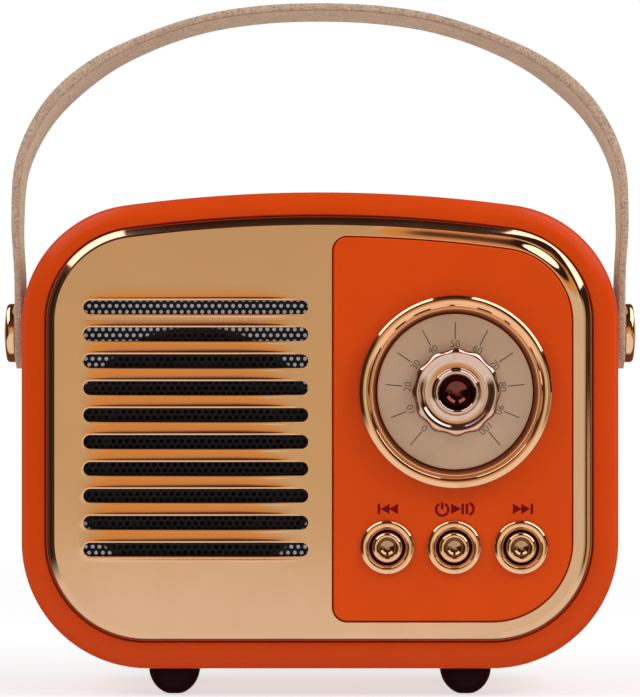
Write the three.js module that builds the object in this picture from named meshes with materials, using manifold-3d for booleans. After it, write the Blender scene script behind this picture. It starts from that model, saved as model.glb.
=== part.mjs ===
// A small retro portable radio: a rounded plastic case on four dome feet, a plated front plate with
// ten speaker slots, a control panel with a tuning dial and three buttons, and a leather carrying
// strap screwed to its sides. The driver, boards, battery and wiring are inside.
// Millimetres, +Z up. The front faces -Y, and the origin is on the table under the middle of the
// object's box. Each sub-part is one named mesh.
import * as THREE from 'three';
import { mergeVertices } from 'three/addons/utils/BufferGeometryUtils.js';
import Module from 'manifold-3d';

const wasm = await Module();
wasm.setup();

// ---------------------------------------------------------------- driving dimensions

const CASE = { width: 98, height: 78.2, depth: 48, lowR: 20.8, highR: 19.6, archR: 240, wall: 2 };
const FRONT_SHIFT = { x: -0.15, z: 0.35 }; // the front opening sits a little off the case's middle
const FOOT = { r: 4.35, h: 4.5, x: 24.1, fromEdge: 10, flatR: 1.3 };
const FRONT_FILLET = 3.6;
const REAR_FILLET = 3;
const SEAT_GAP = 0.1; // left between two parts that sit on each other
const PLATE_RISE = 1.5; // front plate's flat above the case's front plane
const PANEL_RISE = 0.6; // control panel above the front plate
const KNOB_REACH = 7.8; // knob's tip in front of the control panel
const COVER_RISE = 0.6; // rear cover behind the case's rear plane

const SLOT = { count: 10, length: 36.6, height: 2.2, x: -20.25, zTop: 63.77, pitch: 4.39 };
const SLOT_RIM = { width: 0.8, crest: 0.27, rise: 0.12 };
const PANEL = { left: 2.2, inset: 7.8, cornerR: 2.2, skin: 1.6, flange: 1 };
const DIAL = { x: 22.05, z: 50, r: 15.8, faceR: 12.5, faceDepth: 0.8 };
const KNOB = { r: 7.2, lobes: 12, lobeDepth: 0.25 };
const BUTTON = { z: 24.65, middleX: 21.85, pitch: 10.9, ringR: 4.38, boreR: 3.1, capR: 2.5 };
const SPEAKER = { x: -20.25, z: 39.6 };
const BATTERY = { r: 9.2, length: 65, y: 16, z: 17.5 };
const STRAP = { width: 12, thick: 1.3, innerX: 49.95, z: 59.65, leanDeg: 5 };

// ---------------------------------------------------------------- places worked out from them

// The knob's tip and the rear cover's back are the front and back of the object's box, centred on 0.
const FRONT_REACH = PLATE_RISE + PANEL_RISE + KNOB_REACH;
const FRONT_Y = -CASE.depth / 2 + (FRONT_REACH - COVER_RISE) / 2;
const REAR_Y = FRONT_Y + CASE.depth;
const MID_Y = (FRONT_Y + REAR_Y) / 2;
const PLATE_Y = FRONT_Y - PLATE_RISE;
const PANEL_Y = PLATE_Y - PANEL_RISE;
const BOTTOM_Z = FOOT.h;
const TOP_Z = BOTTOM_Z + CASE.height;
const LOW_CORNER = [CASE.width / 2 - CASE.lowR, BOTTOM_Z + CASE.lowR];
const ARCH_Z = TOP_Z - CASE.archR;
const HIGH_CORNER_X = CASE.width / 2 - CASE.highR;
const HIGH_CORNER_Z = ARCH_Z + Math.sqrt((CASE.archR - CASE.highR) ** 2 - HIGH_CORNER_X ** 2);
const HIGH_CORNER = [HIGH_CORNER_X, HIGH_CORNER_Z];
const ARCH_LEAN = THREE.MathUtils.radToDeg(Math.atan2(HIGH_CORNER_X, HIGH_CORNER_Z - ARCH_Z));
const DRIVER_Y = FRONT_Y + 0.7; // front of the driver's gasket, just behind the grille mesh
const BOARD_Y = PANEL_Y + 9; // front face of the control board
const MAIN_BOARD = { y: 20, thick: 1.6, halfWidth: 26, zLow: 28, zHigh: 44 };
const COVER_INNER_Y = REAR_Y - 1.6;

// ---------------------------------------------------------------- materials

const paint = (color, roughness, metalness = 0) =>
  new THREE.MeshStandardMaterial({ color, roughness, metalness });
const MATERIAL = {
  orange: paint(0xd0461a, 0.3),
  roseGold: paint(0xd9a27c, 0.12, 1),
  champagne: paint(0xb89a82, 0.35, 0.6),
  leather: paint(0xb69c89, 0.85),
  rubber: paint(0x2a0c0a, 0.6),
  blackMetal: paint(0x18181b, 0.45, 0.5),
  steel: paint(0xb8babd, 0.3, 1),
  copper: paint(0xb8713c, 0.3, 1),
  magnet: paint(0x3a3a3d, 0.7),
  paper: paint(0x232325, 0.9),
  board: paint(0x1f5a34, 0.5),
  blackPlastic: paint(0x1c1c1e, 0.5),
  palePlastic: paint(0xd8d4cc, 0.6),
  batteryWrap: paint(0x2f6fb0, 0.4),
  redWire: paint(0xb02020, 0.5),
  blackWire: paint(0x141414, 0.5),
};

// ---------------------------------------------------------------- outlines, as [x, z] points

const arc = (cx, cz, rx, rz, fromDeg, toDeg, steps) =>
  Array.from({ length: steps + 1 }, (_, i) => {
    const a = THREE.MathUtils.degToRad(fromDeg + ((toDeg - fromDeg) * i) / steps);
    return [cx + rx * Math.cos(a), cz + rz * Math.sin(a)];
  });

const shifted = (outline, { x, z }) => outline.map((point) => [point[0] + x, point[1] + z]);

// The case's outline, moved inwards by inset, from the bottom left corner anticlockwise.
function caseOutline(inset, cornerSteps = 6, archSteps = 4) {
  const [lowX, lowZ] = LOW_CORNER;
  const [highX, highZ] = HIGH_CORNER;
  const lowR = CASE.lowR - inset;
  const highR = CASE.highR - inset;
  const archR = CASE.archR - inset;
  return [
    ...arc(-lowX, lowZ, lowR, lowR, 180, 270, cornerSteps),
    ...arc(lowX, lowZ, lowR, lowR, 270, 360, cornerSteps),
    ...arc(highX, highZ, highR, highR, 0, 90 - ARCH_LEAN, cornerSteps),
    ...arc(0, ARCH_Z, archR, archR, 90 - ARCH_LEAN, 90 + ARCH_LEAN, archSteps).slice(1, -1),
    ...arc(-highX, highZ, highR, highR, 90 + ARCH_LEAN, 180, cornerSteps),
  ];
}

// The same outline, placed for the front plate and the opening that it drops into.
const frontOutline = (inset) => shifted(caseOutline(inset), FRONT_SHIFT);

// The control panel: the right part of the front's outline, cut off by an upright left side.
function panelOutline(grow = 0) {
  const inset = PANEL.inset - grow;
  const lowR = CASE.lowR - inset;
  const highR = CASE.highR - inset;
  const archR = CASE.archR - inset;
  const cornerR = PANEL.cornerR + grow;
  const leftX = PANEL.left - FRONT_SHIFT.x - grow + cornerR;
  const lowZ = BOTTOM_Z + inset + cornerR;
  const highZ = ARCH_Z + Math.sqrt(archR ** 2 - leftX ** 2) - cornerR;
  const leftLean = THREE.MathUtils.radToDeg(Math.asin(leftX / archR));
  const outline = [
    ...arc(leftX, lowZ, cornerR, cornerR, 180, 270, 3),
    ...arc(...LOW_CORNER, lowR, lowR, 270, 360, 6),
    ...arc(...HIGH_CORNER, highR, highR, 0, 90 - ARCH_LEAN, 6),
    ...arc(0, ARCH_Z, archR, archR, 90 - ARCH_LEAN, 90 - leftLean, 2).slice(1, -1),
    ...arc(leftX, highZ, cornerR, cornerR, 90, 180, 3),
  ];
  return shifted(outline, FRONT_SHIFT);
}

// A slot with round ends, grown by a margin on every side.
function slotOutline(x, z, length, height, grow = 0, steps = 4) {
  const r = height / 2 + grow;
  const half = (length - height) / 2;
  return [...arc(x - half, z, r, r, 90, 270, steps), ...arc(x + half, z, r, r, -90, 90, steps)];
}

const rectangle = (x0, z0, x1, z1) => [
  [x0, z0],
  [x1, z0],
  [x1, z1],
  [x0, z1],
];

// ---------------------------------------------------------------- solids

// A closed geometry as a manifold-3d solid, turned so that its faces point out.
function solid(geometry) {
  const bare = new THREE.BufferGeometry();
  bare.setAttribute('position', geometry.getAttribute('position'));
  bare.setIndex(geometry.index);
  const merged = mergeVertices(bare, 1e-4);
  const index = merged.index.array;
  const faces = [];
  for (let i = 0; i < index.length; i += 3) {
    const [a, b, c] = [index[i], index[i + 1], index[i + 2]];
    if (a !== b && b !== c && c !== a) faces.push([a, b, c]);
  }
  const build = (list) =>
    new wasm.Manifold(
      new wasm.Mesh({
        numProp: 3,
        vertProperties: new Float32Array(merged.attributes.position.array),
        triVerts: new Uint32Array(list.flat()),
      }),
    );
  const made = build(faces);
  return made.volume() > 0 ? made : build(faces.map(([a, b, c]) => [a, c, b]));
}

// A prism of an [x, z] outline between two places on Y.
function prism(outline, y0, y1) {
  const shape = new THREE.Shape(outline.map(([x, z]) => new THREE.Vector2(x, z)));
  const geometry = new THREE.ExtrudeGeometry(shape, { depth: y1 - y0, bevelEnabled: false });
  const swapYZ = new THREE.Matrix4().set(1, 0, 0, 0, 0, 0, 1, y0, 0, 1, 0, 0, 0, 0, 0, 1);
  return solid(geometry.applyMatrix4(swapYZ));
}

const box = (x0, x1, y0, y1, z0, z1) => prism(rectangle(x0, z0, x1, z1), y0, y1);

// Faces between rows of points: each row is a closed loop, and all rows are equally long.
function skin(rows, closeRows) {
  const n = rows[0].length;
  const position = rows.flat(2);
  const index = [];
  const last = closeRows ? rows.length : rows.length - 1;
  for (let j = 0; j < last; j += 1) {
    for (let i = 0; i < n; i += 1) {
      const a = j * n + i;
      const b = j * n + ((i + 1) % n);
      const c = ((j + 1) % rows.length) * n + i;
      const d = ((j + 1) % rows.length) * n + ((i + 1) % n);
      index.push(a, b, c, b, d, c);
    }
  }
  return { position, index, n };
}

function geometryOf({ position, index }) {
  const geometry = new THREE.BufferGeometry();
  geometry.setAttribute('position', new THREE.Float32BufferAttribute(position, 3));
  geometry.setIndex(index);
  return geometry;
}

// A tube whose section closes on itself, made of [outline, y] pairs.
function ring(section) {
  const rows = section.map(([outline, y]) => outline.map(([x, z]) => [x, y, z]));
  return solid(geometryOf(skin(rows, true)));
}

// A stack of outlines at rising Y, closed by a flat cap at each end.
function stack(layers) {
  const rows = layers.map(([outline, y]) => outline.map(([x, z]) => [x, y, z]));
  const made = skin(rows, false);
  const cap = (outline, offset, flip) => {
    const points = outline.map(([x, z]) => new THREE.Vector2(x, z));
    for (const [a, b, c] of THREE.ShapeUtils.triangulateShape(points, [])) {
      made.index.push(...(flip ? [offset + a, offset + c, offset + b] : [offset + a, offset + b, offset + c]));
    }
  };
  cap(layers[0][0], 0, true);
  cap(layers[layers.length - 1][0], (layers.length - 1) * made.n, false);
  return solid(geometryOf(made));
}

// A turned piece about an axis along Y through (x, z): the profile is [radius, y] points.
function turned(profile, x = 0, z = 0, segments = 16) {
  const points = profile.map(([r, y]) => new THREE.Vector2(r, y));
  const onAxis = profile[0][0] === 0 && profile[profile.length - 1][0] === 0;
  if (!onAxis) points.push(points[0].clone());
  return solid(new THREE.LatheGeometry(points, segments)).translate([x, 0, z]);
}

const rodY = (r, y0, y1, x = 0, z = 0, segments = 14) =>
  turned([[0, y0], [r, y0], [r, y1], [0, y1]], x, z, segments);

// A piece turned about Y, laid so that its axis points along +X or +Z.
const alongX = (piece) => piece.rotate([0, 0, -90]);
const alongZ = (piece) => piece.rotate([90, 0, 0]);

// A round wire along a smooth curve through the given points.
function wire(points, r) {
  const curve = new THREE.CatmullRomCurve3(points.map((p) => new THREE.Vector3(...p)));
  const section = new THREE.Shape(arc(0, 0, r, r, 0, 288, 4).map(([x, y]) => new THREE.Vector2(x, y)));
  return solid(new THREE.ExtrudeGeometry(section, { extrudePath: curve, steps: 12, bevelEnabled: false }));
}

// ---------------------------------------------------------------- the assembly

const radio = new THREE.Group();

function add(name, piece, material, parent = radio) {
  const made = piece.getMesh();
  const geometry = new THREE.BufferGeometry();
  const position = new Float32Array(made.numVert * 3);
  for (let i = 0; i < made.numVert; i += 1) {
    position.set(made.vertProperties.subarray(i * made.numProp, i * made.numProp + 3), i * 3);
  }
  geometry.setAttribute('position', new THREE.BufferAttribute(position, 3));
  geometry.setIndex(new THREE.BufferAttribute(made.triVerts, 1));
  geometry.computeVertexNormals();
  const mesh = new THREE.Mesh(geometry, material);
  mesh.name = name;
  parent.add(mesh);
}

const SIDES = [
  ['left', -1],
  ['right', 1],
];

// ---------------------------------------------------------------- case

const SCREW = { x: 38.17, zLow: 15.33, zHigh: 69.72, bossR: 3.2, headR: 2.1, shankR: 1.1, headSink: 1.35 };
const REAR_SCREWS = [
  ['lower_left', -SCREW.x, SCREW.zLow],
  ['lower_right', SCREW.x, SCREW.zLow],
  ['upper_left', -SCREW.x, SCREW.zHigh],
  ['upper_right', SCREW.x, SCREW.zHigh],
];
const FEET = [
  ['front', FRONT_Y + FOOT.fromEdge],
  ['rear', REAR_Y - FOOT.fromEdge],
].flatMap(([end, y]) => SIDES.map(([side, sign]) => [`${end}_${side}`, sign * FOOT.x, y]));
const PLATE_REBATE = 4.2; // inset of the seat that the front plate drops into
const COVER_REBATE = 3.6;
const FRONT_LEDGE_Y = FRONT_Y + 1.3;
const REAR_LEDGE_Y = REAR_Y - 1.7;
const LEDGE_THICK = 1.5;
const LEDGE_INSET = 6.3; // inset of the opening inside that seat

function caseShell() {
  const fillet = (r, y, sign, steps) =>
    arc(r, y + sign * r, r, r, 180, sign > 0 ? 270 : 90, steps);
  const front = [
    [PLATE_REBATE, FRONT_Y],
    [PLATE_REBATE, FRONT_LEDGE_Y],
    [LEDGE_INSET, FRONT_LEDGE_Y],
    [LEDGE_INSET, FRONT_LEDGE_Y + LEDGE_THICK],
  ];
  const inside = [
    [CASE.wall, FRONT_LEDGE_Y + LEDGE_THICK],
    [CASE.wall, REAR_LEDGE_Y - LEDGE_THICK],
    [6, REAR_LEDGE_Y - LEDGE_THICK],
    [6, REAR_LEDGE_Y],
    [COVER_REBATE, REAR_LEDGE_Y],
    [COVER_REBATE, REAR_Y],
  ];
  let shell = ring([
    ...fillet(FRONT_FILLET, FRONT_Y, 1, 3).map(([inset, y]) => [caseOutline(inset), y]),
    ...front.map(([inset, y]) => [frontOutline(inset), y]),
    ...inside.map(([inset, y]) => [caseOutline(inset), y]),
    ...fillet(REAR_FILLET, REAR_Y, -1, 3).reverse().map(([inset, y]) => [caseOutline(inset), y]),
  ]);
  for (const [, x, z] of REAR_SCREWS) {
    shell = shell.add(rodY(SCREW.bossR, REAR_Y - 13, REAR_LEDGE_Y, x, z, 12));
    shell = shell.subtract(rodY(SCREW.shankR + SEAT_GAP, REAR_Y - 11.5, REAR_Y, x, z, 10));
  }
  const sideHole = alongX(rodY(1.7, -60, 60, 0, 0, 12)).translate([0, MID_Y, STRAP.z]);
  shell = shell.subtract(sideHole);
  for (const [, x, y] of FEET) {
    shell = shell.subtract(alongZ(rodY(2, -9, -3, 0, 0, 12)).rotate([180, 0, 0]).translate([x, y, 0]));
  }
  return shell;
}

// ---------------------------------------------------------------- rear cover and its screws

const VENT = { count: 6, length: 30, height: 2.2, zLow: 50, pitch: 4 };
const USB = { x: -10, z: 36, width: 8.9, height: 3.2 };
const AUX = { x: 8, z: 36, r: 3, boreR: 1.75 };

function rearCover() {
  const edge = COVER_REBATE + 0.15;
  const back = REAR_Y + COVER_RISE;
  let cover = stack([
    [caseOutline(edge), COVER_INNER_Y],
    [caseOutline(edge), REAR_Y],
    [caseOutline(edge + 0.2), REAR_Y + 0.4],
    [caseOutline(edge + 0.7), back],
  ]);
  for (let i = 0; i < VENT.count; i += 1) {
    const z = VENT.zLow + i * VENT.pitch;
    cover = cover.subtract(
      prism(slotOutline(0, z, VENT.length, VENT.height, 0, 3), COVER_INNER_Y - 1, back + 1),
    );
  }
  cover = cover.subtract(
    prism(slotOutline(USB.x, USB.z, USB.width, USB.height, 0.3, 4), COVER_INNER_Y - 1, back + 1),
  );
  cover = cover.subtract(rodY(AUX.r + 0.3, COVER_INNER_Y - 1, back + 1, AUX.x, AUX.z));
  for (const [, x, z] of REAR_SCREWS) {
    cover = cover.subtract(rodY(SCREW.headR + 0.3, back - SCREW.headSink, back + 1, x, z, 12));
    cover = cover.subtract(rodY(SCREW.shankR + 0.3, COVER_INNER_Y - 1, back + 1, x, z, 10));
  }
  const postEnd = MAIN_BOARD.y + MAIN_BOARD.thick + SEAT_GAP;
  for (const x of [-23, 23]) {
    for (const z of [31, 41]) {
      cover = cover.add(rodY(1.8, postEnd, COVER_INNER_Y + 0.5, x, z, 10));
    }
  }
  return cover;
}

function rearScrew(x, z) {
  const floor = REAR_Y + COVER_RISE - SCREW.headSink + 0.05;
  const headTop = REAR_Y + COVER_RISE - 0.15;
  return turned(
    [
      [0, REAR_Y - 10],
      [SCREW.shankR, REAR_Y - 9],
      [SCREW.shankR, floor],
      [SCREW.headR, floor],
      [SCREW.headR, headTop - 0.5],
      [SCREW.headR - 0.6, headTop],
      [0, headTop],
    ],
    x,
    z,
    12,
  );
}

// ---------------------------------------------------------------- front plate and grille mesh

const PLATE_EDGE = 4.35; // inset of the front plate's outer edge
const ROLL = 1.5; // width of its rounded outer edge
const PLATE_POCKET = 6.5; // inset of the hollow behind the plate

function frontBezel() {
  const roll = arc(PLATE_EDGE + ROLL, FRONT_Y, ROLL, PLATE_RISE, 180, 270, 3);
  let plate = stack([
    [frontOutline(PLATE_EDGE), FRONT_Y + 1.2],
    ...roll.map(([inset, y]) => [frontOutline(inset), y]),
  ]);
  plate = plate.subtract(prism(frontOutline(PLATE_POCKET), FRONT_Y, FRONT_Y + 2));
  for (let i = 0; i < SLOT.count; i += 1) {
    const z = SLOT.zTop - i * SLOT.pitch;
    const outline = (grow) => slotOutline(SLOT.x, z, SLOT.length, SLOT.height, grow);
    plate = plate.add(
      stack([
        [outline(SLOT_RIM.width), PLATE_Y + 0.2],
        [outline(SLOT_RIM.width), PLATE_Y],
        [outline(SLOT_RIM.crest), PLATE_Y - SLOT_RIM.rise],
      ]),
    );
    plate = plate.subtract(prism(outline(0), PLATE_Y - 1, FRONT_Y + 1));
  }
  return plate.subtract(prism(panelOutline(0.15), PLATE_Y - 1, FRONT_Y + 1));
}

const GRILLE = { x0: -40.8, x1: 0.9, z0: 21, z1: 66.8, thick: 0.5 };
const BAFFLE = { x0: -42.4, x1: 0.9, z0: 17.5, z1: 70, thick: 1.4, inset: 6.6, holeR: 20.3 };

function grilleMesh() {
  const y = FRONT_Y + SEAT_GAP;
  return box(GRILLE.x0, GRILLE.x1, y, y + GRILLE.thick, GRILLE.z0, GRILLE.z1);
}

// The pale board behind the mesh, with the driver in its round hole.
function speakerBaffle() {
  const back = DRIVER_Y + BAFFLE.thick;
  const sheet = box(BAFFLE.x0, BAFFLE.x1, DRIVER_Y, back, BAFFLE.z0, BAFFLE.z1);
  const hole = rodY(BAFFLE.holeR, DRIVER_Y - 1, back + 1, SPEAKER.x, SPEAKER.z, 28);
  return sheet.intersect(prism(frontOutline(BAFFLE.inset), DRIVER_Y - 1, back + 1)).subtract(hole);
}

// ---------------------------------------------------------------- control panel and dial

const POSTS = [
  [6.5, 20],
  [37.2, 20],
  [6.5, 61],
  [37.2, 61],
];
const DIAL_HOLE_R = 14.3;
const SLEEVE_R = 3.45;

const buttonX = (i) => BUTTON.middleX + (i - 1) * BUTTON.pitch;

function controlPanel() {
  const edge = 0.35;
  let panel = stack([
    [panelOutline(-edge), PANEL_Y],
    [panelOutline(0), PANEL_Y + edge],
    [panelOutline(0), FRONT_Y + SEAT_GAP],
  ]);
  panel = panel.add(prism(panelOutline(PANEL.flange), FRONT_Y + SEAT_GAP, FRONT_Y + 1.1));
  panel = panel.subtract(prism(panelOutline(-1.6), PANEL_Y + PANEL.skin, FRONT_Y + 2));
  for (const [x, z] of POSTS) {
    panel = panel.add(rodY(1.6, PANEL_Y + PANEL.skin - 0.2, BOARD_Y - SEAT_GAP, x, z, 10));
  }
  panel = panel.subtract(rodY(DIAL_HOLE_R, PANEL_Y - 1, PANEL_Y + 5, DIAL.x, DIAL.z, 30));
  for (let i = 0; i < 3; i += 1) {
    panel = panel.subtract(rodY(SLEEVE_R + 0.1, PANEL_Y - 1, PANEL_Y + 3, buttonX(i), BUTTON.z));
  }
  return panel;
}

function dialRing() {
  const bead = arc(DIAL.r - 0.98, PANEL_Y - 0.9, 0.98, 1.5, 0, -180, 4);
  const faceBack = PANEL_Y + DIAL.faceDepth + 0.7;
  return turned(
    [
      [DIAL.r, PANEL_Y - 0.05],
      ...bead,
      [DIAL.faceR + 0.2, PANEL_Y + DIAL.faceDepth - 0.1],
      [DIAL.faceR + 0.2, faceBack],
      [11, faceBack],
      [11, faceBack + 0.7],
      [DIAL_HOLE_R - 0.2, faceBack + 0.7],
      [DIAL_HOLE_R - 0.2, PANEL_Y - 0.05],
    ],
    DIAL.x,
    DIAL.z,
    30,
  );
}

const SHAFT_R = 3;
const FACE_Y = PANEL_Y + DIAL.faceDepth;

function dialFace() {
  return turned(
    [
      [SHAFT_R + 0.6, FACE_Y],
      [DIAL.faceR, FACE_Y],
      [DIAL.faceR, FACE_Y + 0.6],
      [SHAFT_R + 0.6, FACE_Y + 0.6],
    ],
    DIAL.x,
    DIAL.z,
    30,
  );
}

// ---------------------------------------------------------------- knob and potentiometer

const KNOB_TIP = PANEL_Y - KNOB_REACH;
const knobCircle = (r) => arc(DIAL.x, DIAL.z, r, r, 0, 350, 35);

function lobedCircle(r) {
  return Array.from({ length: 36 }, (_, i) => {
    const a = (i / 36) * 2 * Math.PI;
    const lobed = r - KNOB.lobeDepth * (0.5 - 0.5 * Math.cos(KNOB.lobes * a));
    return [DIAL.x + lobed * Math.cos(a), DIAL.z + lobed * Math.sin(a)];
  });
}

function tuningKnob() {
  const skirtBack = FACE_Y - 0.7;
  const rimY = KNOB_TIP + 1.2;
  const knob = stack([
    [lobedCircle(KNOB.r), skirtBack],
    [lobedCircle(KNOB.r), rimY + 1.2],
    [lobedCircle(KNOB.r - 0.35), rimY + 0.3],
    [knobCircle(6.2), rimY],
    [knobCircle(5.95), rimY + 0.08],
    [knobCircle(5.1), rimY + 0.5],
    [knobCircle(3.95), rimY + 0.5],
    [knobCircle(3.8), KNOB_TIP + 0.5],
    [knobCircle(3.5), KNOB_TIP],
    [knobCircle(3.2), KNOB_TIP],
  ]);
  const seat = rodY(3, KNOB_TIP - 1, KNOB_TIP + 2.4, DIAL.x, DIAL.z, 18);
  const bore = rodY(SHAFT_R + SEAT_GAP, KNOB_TIP + 3.2, FACE_Y, DIAL.x, DIAL.z, 18);
  return knob.subtract(seat).subtract(bore);
}

// The dished button in the middle of the knob.
function knobInsert() {
  return turned(
    [
      [0, KNOB_TIP + 2.1],
      [1.5, KNOB_TIP + 1.7],
      [2.4, KNOB_TIP + 0.9],
      [2.75, KNOB_TIP + 0.1],
      [2.9, KNOB_TIP + 0.1],
      [2.9, KNOB_TIP + 2.35],
      [0, KNOB_TIP + 2.35],
    ],
    DIAL.x,
    DIAL.z,
    18,
  );
}

function potShaft() {
  const shaft = rodY(SHAFT_R, KNOB_TIP + 3.3, PANEL_Y + 4.4, DIAL.x, DIAL.z, 18);
  const flat = box(DIAL.x + 1.5, DIAL.x + 4, KNOB_TIP + 2, FACE_Y - 0.8, DIAL.z - 4, DIAL.z + 4);
  return shaft.subtract(flat);
}

function volumePot() {
  const half = 5;
  const back = BOARD_Y - SEAT_GAP;
  const body = box(DIAL.x - half, DIAL.x + half, PANEL_Y + 2.6, back, DIAL.z - half, DIAL.z + half);
  const bushing = rodY(4.2, PANEL_Y + 1.7, PANEL_Y + 3, DIAL.x, DIAL.z);
  return body.add(bushing).subtract(rodY(SHAFT_R + SEAT_GAP, PANEL_Y, PANEL_Y + 4.6, DIAL.x, DIAL.z, 18));
}

// ---------------------------------------------------------------- buttons and switches

function buttonRing(x) {
  const inner = BUTTON.boreR;
  const bead = arc((BUTTON.ringR + inner) / 2, PANEL_Y - 0.3, (BUTTON.ringR - inner) / 2, 0.8, 0, -180, 4);
  const back = PANEL_Y + 2;
  return turned(
    [[BUTTON.ringR, PANEL_Y - 0.05], ...bead, [inner, back], [SLEEVE_R, back], [SLEEVE_R, PANEL_Y - 0.05]],
    x,
    BUTTON.z,
  );
}

function buttonCap(x) {
  const front = PANEL_Y - 1.4;
  return turned(
    [
      [0, front + 1.3],
      [1, front + 1],
      [1.75, front],
      [2.15, front],
      [BUTTON.capR, front + 0.45],
      [BUTTON.capR, PANEL_Y + 2.2],
      [3.5, PANEL_Y + 2.2],
      [3.5, PANEL_Y + 2.9],
      [1.2, PANEL_Y + 2.9],
      [1.2, PANEL_Y + 4.6],
      [0, PANEL_Y + 4.6],
    ],
    x,
    BUTTON.z,
  );
}

const switchPlunger = (x) => rodY(0.9, PANEL_Y + 4.7, PANEL_Y + 6.4, x, BUTTON.z, 10);

function tactSwitch(x) {
  const front = PANEL_Y + 5.4;
  const body = box(x - 3, x + 3, front, BOARD_Y - SEAT_GAP, BUTTON.z - 3, BUTTON.z + 3);
  return body.subtract(rodY(1.1, front - 1, front + 1.9, x, BUTTON.z, 10));
}

const controlBoard = () => box(3, 40.5, BOARD_Y, BOARD_Y + 1.5, 17.5, 64);

// ---------------------------------------------------------------- driver

const driverPiece = (profile) =>
  turned(
    profile.map(([r, y]) => [r, DRIVER_Y + y]),
    SPEAKER.x,
    SPEAKER.z,
    18,
  );

const DRIVER_PARTS = [
  ['speaker_gasket', [[18, 0], [20, 0], [20, 1.5], [18, 1.5]], MATERIAL.paper],
  ['speaker_surround', [[13.75, 1.2], [14.3, 0.6], [15.5, 0.45], [16.6, 0.9], [17.8, 1], [17.8, 1.5],
    [16.4, 1.4], [15.5, 0.9], [14.5, 1], [13.75, 1.6]], MATERIAL.blackPlastic],
  ['speaker_spider', [[5.6, 8.6], [11, 8.6], [11, 9], [5.6, 9]], MATERIAL.copper],
  ['speaker_top_plate', [[6, 10.9], [13, 10.9], [13, 12.9], [6, 12.9]], MATERIAL.steel],
  ['speaker_magnet', [[7.5, 13], [14, 13], [14, 18], [7.5, 18]], MATERIAL.magnet],
  ['speaker_yoke', [[0, 10.8], [4.4, 10.8], [4.4, 18.1], [14, 18.1], [14, 20.1], [0, 20.1]], MATERIAL.steel],
];

const CONE_PARTS = [
  ['speaker_cone', [[13.6, 1.3], [13.6, 1.8], [5.9, 7.3], [5, 7.3], [5, 6.9]], MATERIAL.paper],
  ['dust_cap', [[0, 4.9], [2.6, 5.3], [4.9, 6.6], [4.4, 6.7], [2.4, 5.8], [0, 5.4]], MATERIAL.paper],
  ['voice_coil', [[5, 7.4], [5.4, 7.4], [5.4, 13.2], [5, 13.2]], MATERIAL.copper],
];

function speakerFrame() {
  let frame = driverPiece([
    [16.2, 1.6],
    [20, 1.6],
    [20, 2.8],
    [17.2, 2.8],
    [13, 9.2],
    [13, 10.8],
    [6.4, 10.8],
    [6.4, 9.6],
    [11.8, 9.6],
    [11.8, 8.6],
  ]);
  for (const [dx, dz] of [[15, 0], [-15, 0], [0, 15], [0, -15]]) {
    const [x, z] = [SPEAKER.x + dx, SPEAKER.z + dz];
    frame = frame.subtract(box(x - 5, x + 5, DRIVER_Y + 3.6, DRIVER_Y + 7.6, z - 5, z + 5));
  }
  return frame;
}

// ---------------------------------------------------------------- main board, ports and battery

function mainBoard() {
  const { y, thick, halfWidth, zLow, zHigh } = MAIN_BOARD;
  return box(-halfWidth, halfWidth, y, y + thick, zLow, zHigh);
}

const portFront = MAIN_BOARD.y + MAIN_BOARD.thick + SEAT_GAP;

function usbPort() {
  const back = REAR_Y + 0.1;
  const shell = prism(slotOutline(USB.x, USB.z, USB.width, USB.height, 0, 4), portFront, back);
  const mouth = prism(slotOutline(USB.x, USB.z, USB.width, USB.height, -0.35, 4), portFront + 1, back + 1);
  const tongue = box(USB.x - 3.2, USB.x + 3.2, portFront + 0.5, back - 0.9, USB.z - 0.35, USB.z + 0.35);
  return shell.subtract(mouth).add(tongue);
}

function auxJack() {
  const body = box(AUX.x - 3.2, AUX.x + 3.2, portFront, COVER_INNER_Y - 0.2, AUX.z - 3.2, AUX.z + 3.2);
  const nose = rodY(AUX.r, portFront + 1, REAR_Y + 0.2, AUX.x, AUX.z);
  return body.add(nose).subtract(rodY(AUX.boreR, portFront + 0.8, REAR_Y + 1, AUX.x, AUX.z));
}

function wirelessModule() {
  return box(-8, 6, MAIN_BOARD.y - 2.1, MAIN_BOARD.y - SEAT_GAP, 29, 43);
}

function batteryCell() {
  const half = BATTERY.length / 2;
  const cell = turned(
    [[0, -half], [8.6, -half], [BATTERY.r, -half + 0.6], [BATTERY.r, half - 2.4], [8.8, half - 2],
      [BATTERY.r, half - 1.6], [8.6, half - 1], [3, half - 1], [3, half], [0, half]],
    0,
    0,
    16,
  );
  return alongX(cell).translate([0, BATTERY.y, BATTERY.z]);
}

function batteryCradle() {
  const floor = BOTTOM_Z + CASE.wall + SEAT_GAP;
  let cradle = box(-11, 11, BATTERY.y - 2, BATTERY.y + 2, floor, floor + 1.2);
  for (const x of [-14, 14]) {
    cradle = cradle.add(box(x - 4, x + 4, BATTERY.y - 8, BATTERY.y + 8, floor, 13));
  }
  const cell = alongX(rodY(BATTERY.r + 0.3, -40, 40, 0, 0, 16)).translate([0, BATTERY.y, BATTERY.z]);
  return cradle.subtract(cell);
}

// ---------------------------------------------------------------- feet

function foot(x, y) {
  const top = FOOT.h - SEAT_GAP;
  const flatStart = THREE.MathUtils.radToDeg(Math.acos(FOOT.flatR / FOOT.r));
  const dome = arc(0, top, FOOT.r, top / Math.sin(THREE.MathUtils.degToRad(flatStart)), -flatStart, 0, 4);
  const stem = [[1.8, top], [1.8, 6.7], [2.3, 6.8], [1.6, 7.6], [0, 7.6]];
  return alongZ(turned([[0, 0], ...dome, ...stem], 0, 0, 14)).translate([x, y, 0]);
}

// ---------------------------------------------------------------- strap and its screws

const STRAP_SCREW = { headR: 5, headRise: 1.95, shankR: 1.5, washerR: 4.2 };

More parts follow.
